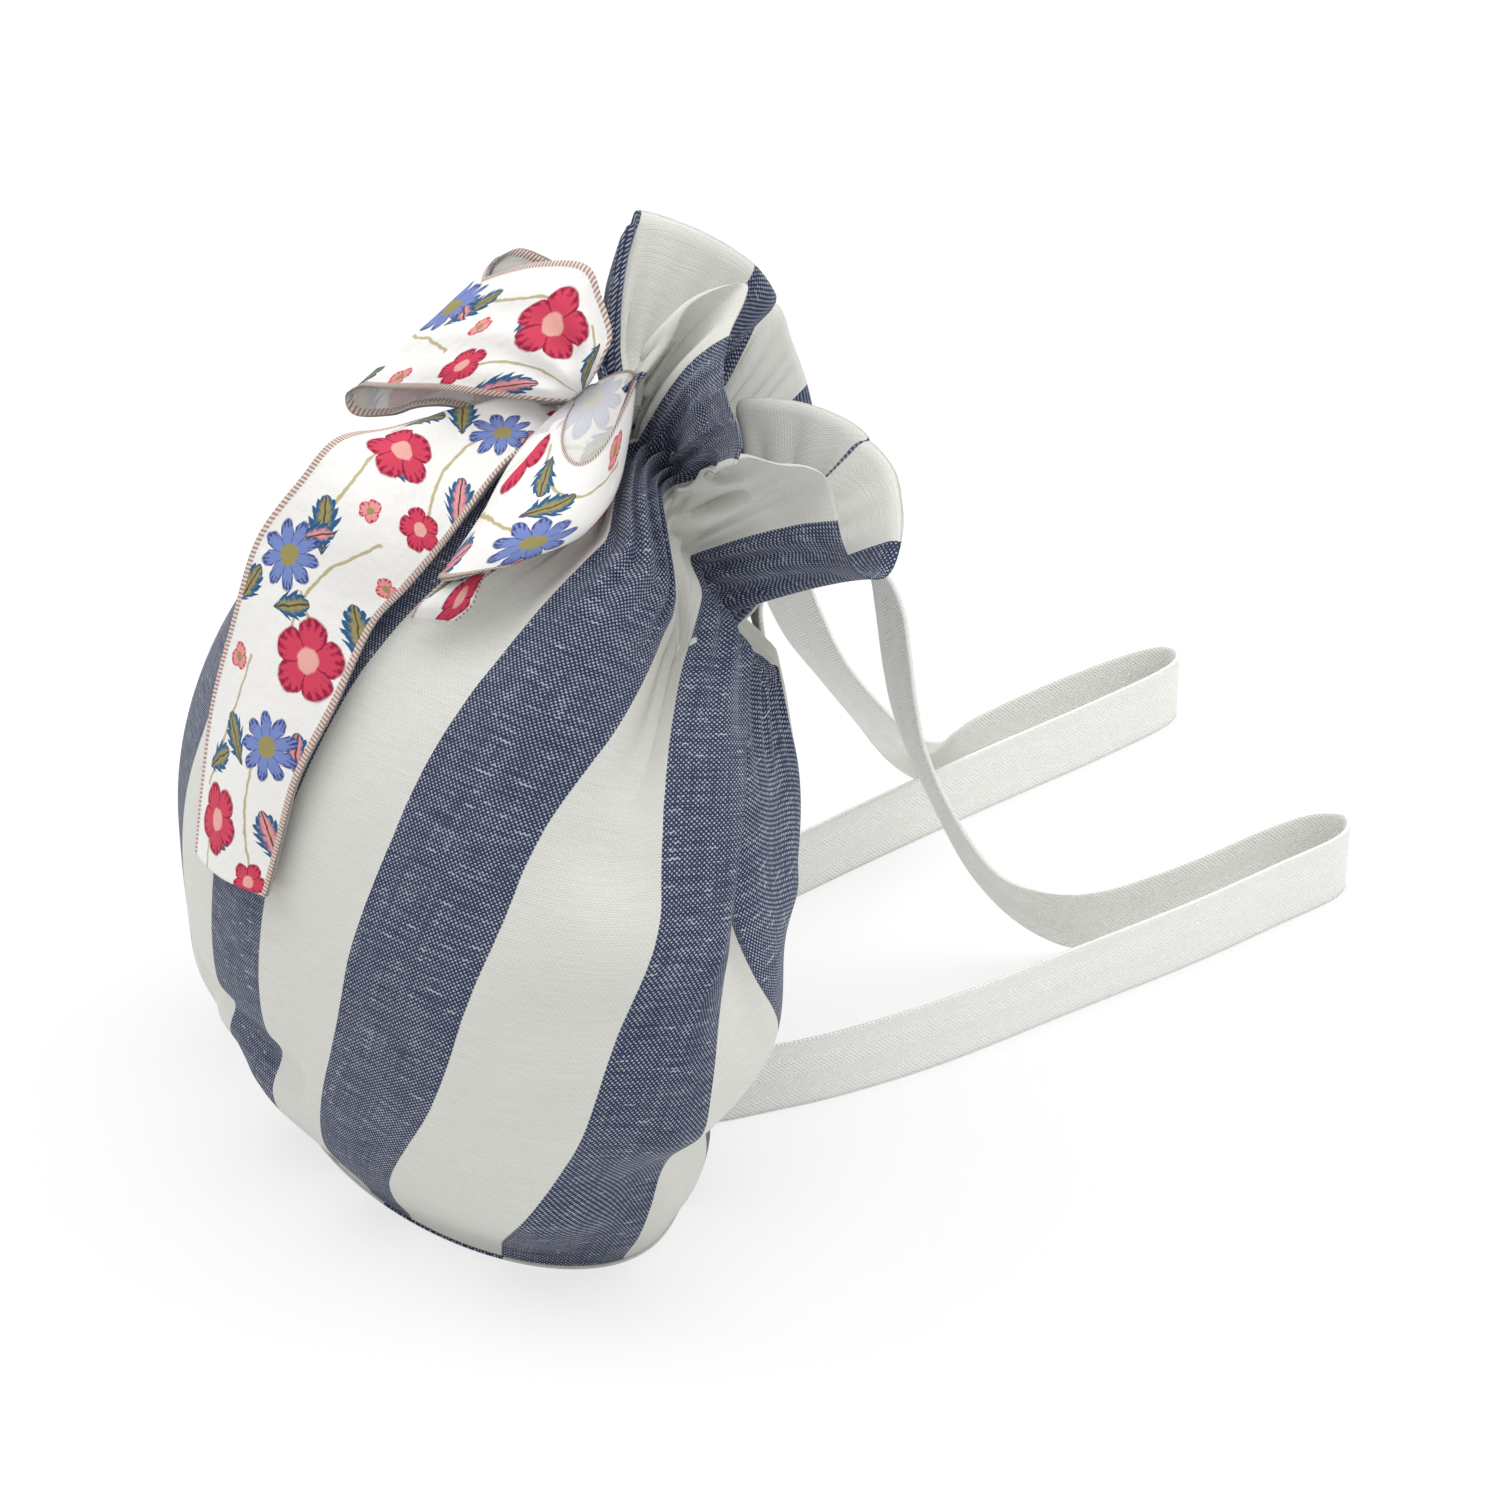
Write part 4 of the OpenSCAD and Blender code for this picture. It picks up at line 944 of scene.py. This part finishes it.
STRAP_RIGHT_KEYS = [
    [18.5, 99.7, 144, 0.88, -0.4, 0.17, 0.45], [16, 101.4, 152.3, 0.86, -0.42, 0.22, 0.45],
    [11, 103.5, 162, 1, -0.3, 0.25, 0.42], [13, 107, 176, 1, -0.15, 0.3, 0.55],
    [36, 114, 186, 1, -0.2, 0.2, 1], [44, 121, 186, 1, -0.3, 0.1, 1], [47, 126, 175, 1, -0.3, 0, 1],
    [45, 131, 157, 1, -0.3, 0, 1], [42, 137, 133, 1, -0.3, 0, 1], [38, 146, 108, 1, -0.3, 0, 1],
    [36, 162, 74, 0.95, -0.3, 0.15, 1], [37, 180, 42, 0.75, -0.25, 0.5, 1],
    [42, 200, 22, 0.4, -0.15, 0.9, 1], [48, 222, EDGE, 0.1, 0, 1, 1],
    *standing((54, 256), (55, 290), (58, 309), (66, 318), (74, 308), (74, 280), (73, 240)),
    *standing((69, 190), (65, 140), (58, 102), (50, 76)),
    [46, 64, EDGE, 0.05, 0.15, 1, 1], [42.5, 57, EDGE, 0.1, 0.3, 0.95, 1],
    [37, 54.2, EDGE, 0.1, 0.33, 0.94, 1]]
STRAP_LEFT_KEYS = [
    [-22.4, 101, 154.7, 0.92, 0, -0.38, 0.55], [-18.4, 104.9, 162.6, 0.92, 0, -0.38, 0.55],
    [-19, 114, 165, 1, 0.1, -0.2, 0.75], [-20.5, 125, 161.5, 1, 0.1, -0.1, 0.9],
    [-23, 137, 152, 1, 0.15, 0, 1], [-25, 146, 132, 1, 0.2, 0, 1], [-27, 158, 108, 1, 0.2, 0, 1],
    [-30, 175, 84, 1, 0.2, 0, 1], [-36, 196, 58, 0.95, 0.2, 0.15, 1], [-46, 219, 34, 0.7, 0.2, 0.6, 1],
    [-56, 240, 19, 0.3, 0.1, 0.95, 1],
    *standing((-62, 262), (-63, 300), (-60, 338), (-53, 348), (-45, 338), (-43, 300), (-43, 250)),
    *standing((-42, 200), (-40, 150), (-39, 106), (-38, 78)),
    [-40, 66, EDGE, -0.1, 0.15, 1, 1], [-43, 58.5, EDGE, -0.25, 0.4, 0.88, 1],
    [-47.5, 55.3, EDGE, -0.39, 0.56, 0.73, 1]]
TAPE_ROWS, TAPE_ACROSS = 320, 17
TACK_ACROSS, TACK_ROWS, TACK_LIFT = 25, 17, 1.3


def tape_sheet(name, grid):
    return solid_sheet(name, grid, strip_uv(grid, STRAP_WIDTH), STRAP_CLOTH / 2, strap_tape)


def tape(name, keys):
    rows = dense(keys, TAPE_ROWS)
    wide = unit(rows[:, 3:6])
    side = np.linspace(-1, 1, TAPE_ACROSS)[None, :, None] * rows[:, None, 6:] * STRAP_WIDTH / 2
    return tape_sheet(name, rows[:, None, :3] + side * wide[:, None, :])


right_tape, left_tape = tape("right_tape", STRAP_RIGHT_KEYS), tape("left_tape", STRAP_LEFT_KEYS)


def tack(name, u0, u1, t0, t1):
    u, t = np.linspace(u0, u1, TACK_ACROSS), np.linspace(t0, t1, TACK_ROWS)
    grid = body_cloth(u[:, None], t[None, :], 0.0)
    lift = TACK_LIFT + gather_rise(t)
    return tape_sheet(name, grid + lift[None, :, None] * grid_normals(grid))


right_top_tack = tack("right_top_tack", 2.95, 3.5, 0.9, 0.945)
left_top_tack = tack("left_top_tack", 4.8, 5.6, 0.91, 0.955)
right_low_tack = tack("right_low_tack", 2.4, 2.8, 0.0, 0.14)
left_low_tack = tack("left_low_tack", 5.2, 5.6, 0.0, 0.14)

# the body each piece moves with, what it is made of and which nodes it stands for
PIECES = [
    (front_cloth, "bag", "stripe_cloth", ["front_panel", "front_facing"]),
    (back_cloth, "bag", "stripe_cloth", ["back_panel", "back_facing"]),
    (base_cloth, "bag", "stripe_cloth", ["base_panel"]),
    (band, "bag", "sash_print", ["sash_band"]),
    (knot, "bag", "sash_print", ["bow_knot"]),
    (upper_loop, "upper_loop", "sash_print", ["bow_loop_upper"]),
    (lower_loop, "lower_loop", "sash_print", ["bow_loop_lower"]),
    (short_tail, "lower_loop", "sash_print", ["sash_tail_short"]),
    (long_tail, "long_end", "sash_print", ["sash_tail_long"]),
    (right_tape, "right_strap", "strap_tape", ["strap_right"]),
    (left_tape, "left_strap", "strap_tape", ["strap_left"]),
    (right_top_tack, "bag", "strap_tape", ["strap_right_top_tack"]),
    (left_top_tack, "bag", "strap_tape", ["strap_left_top_tack"]),
    (right_low_tack, "bag", "strap_tape", ["strap_right_low_tack"]),
    (left_low_tack, "bag", "strap_tape", ["strap_left_low_tack"]),
]


def way_out(piece, root):
    spots = np.array([vertex.co for vertex in piece.data.vertices]) / MM
    return unit(spots.mean(0) - root)


# strips held by the bag: where each is held, which way it leads, and where its bend starts and ends. These
# numbers are not used: the loop below fixes these strips where they stand, without bending them or joining
# them to a body, joins every other piece to its body, and hides the nodes each piece stands for.
STRAP_FOOT = np.zeros(3)
STRAP_OUT = unit(np.array([0, 0.968, -0.25]))
LOOP_FOOT = np.array([6.3, 47.5, 240.5])
TAIL_FOOT = np.array([-7.1, 55.0, 236.6])
STRAP_BEND = (STRAP_FOOT, STRAP_OUT, 60.5, 150.0)
LOOP_BEND = (LOOP_FOOT, way_out(lower_loop, LOOP_FOOT), 5.0, 40.0)
TAIL_BEND = (TAIL_FOOT, way_out(long_tail, TAIL_FOOT), 10.0, 70.0)
BENDS = {
    right_tape.name: STRAP_BEND, left_tape.name: STRAP_BEND, lower_loop.name: LOOP_BEND,
    short_tail.name: LOOP_BEND, long_tail.name: TAIL_BEND}
for piece, body, slot, nodes in PIECES:
    if piece.name in BENDS:
        foot, out, near, far = BENDS[piece.name]
        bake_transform(piece)
    else:
        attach(piece, body)
    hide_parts(*nodes)

# the floor: pale, and drawn white for the camera where no shadow falls
floor_mesh = bpy.data.meshes.new("floor")
FLOOR_HALF, FLOOR_TONE, FLOOR_GLOW = 4.0, 0.9, 0.7
floor_corners = [(x * FLOOR_HALF, y * FLOOR_HALF, 0) for x, y in ((-1, -1), (1, -1), (1, 1), (-1, 1))]
floor_mesh.from_pydata(floor_corners, [], [(0, 1, 2, 3)])
floor = put_in_scene("floor", floor_mesh)
floor_look, floor_links, floor_bsdf = material("floor")
floor_bsdf.inputs["Base Color"].default_value = (FLOOR_TONE, FLOOR_TONE, FLOOR_TONE, 1)
set_finish(floor_bsdf, 1.0, 0.0)
m = Maker(floor_look.node_tree)
ray, glow, floor_mix = (m.nodes.new("ShaderNode" + kind) for kind in ("LightPath", "Emission", "MixShader"))
shown = m.mul(ray.outputs["Is Camera Ray"], FLOOR_GLOW)
for socket, value in zip(floor_mix.inputs, (shown, floor_bsdf.outputs[0], glow.outputs[0])):
    floor_links.new(value, socket)
floor_links.new(floor_mix.outputs[0], m.nodes["Material Output"].inputs["Surface"])
floor_mesh.materials.append(floor_look)

# the photo's view
TARGET = np.array([0.0, 0.110, 0.0995])
AZIMUTH, ELEVATION, DISTANCE = math.radians(52), math.radians(32), 1.4
toward = np.array([
    math.sin(AZIMUTH) * math.cos(ELEVATION), -math.cos(AZIMUTH) * math.cos(ELEVATION), math.sin(ELEVATION)])
camera = put_in_scene("camera", bpy.data.cameras.new("camera"))
camera.data.lens, camera.data.sensor_width = 105.0, 36.0
camera.location = TARGET + DISTANCE * toward
camera.rotation_euler = (math.pi / 2 - ELEVATION, 0, AZIMUTH)
scene.camera = camera


def softbox(name, place, aim, size, power):
    """A round soft light at a place, turned to its aim."""
    lamp = bpy.data.lights.new(name, "AREA")
    lamp.shape, lamp.size, lamp.energy = "DISK", size, power
    light = put_in_scene(name, lamp)
    light.location = place
    way = Vector(aim) - light.location
    light.rotation_euler = way.to_track_quat("-Z", "Y").to_euler()


softbox("over_left", (-1.1, -0.5, 1.6), (0, 0.1, 0.1), 1.4, 9.0)
softbox("over_back", (0.6, 1.5, 1.4), (0, 0.15, 0.1), 1.6, 9.0)
softbox("over_top", (0.1, 0.2, 2.1), (0, 0.1, 0.1), 1.4, 14.0)

# a white surround, dimmer as a light than it looks
SKY_LIGHT, SKY_SEEN = 0.72, 1.0
world = bpy.data.worlds.new("studio")
scene.world = world
world.use_nodes = True
m = Maker(world.node_tree)
sky = m.nodes["Background"]
sky.inputs["Color"].default_value = (1, 1, 1, 1)
sky_ray = m.nodes.new("ShaderNodeLightPath")
m.put(sky.inputs["Strength"], m.math(
    "MULTIPLY_ADD", sky_ray.outputs["Is Camera Ray"], SKY_SEEN - SKY_LIGHT, SKY_LIGHT))

scene.view_settings.view_transform = "Standard"

bpy.context.view_layer.update()
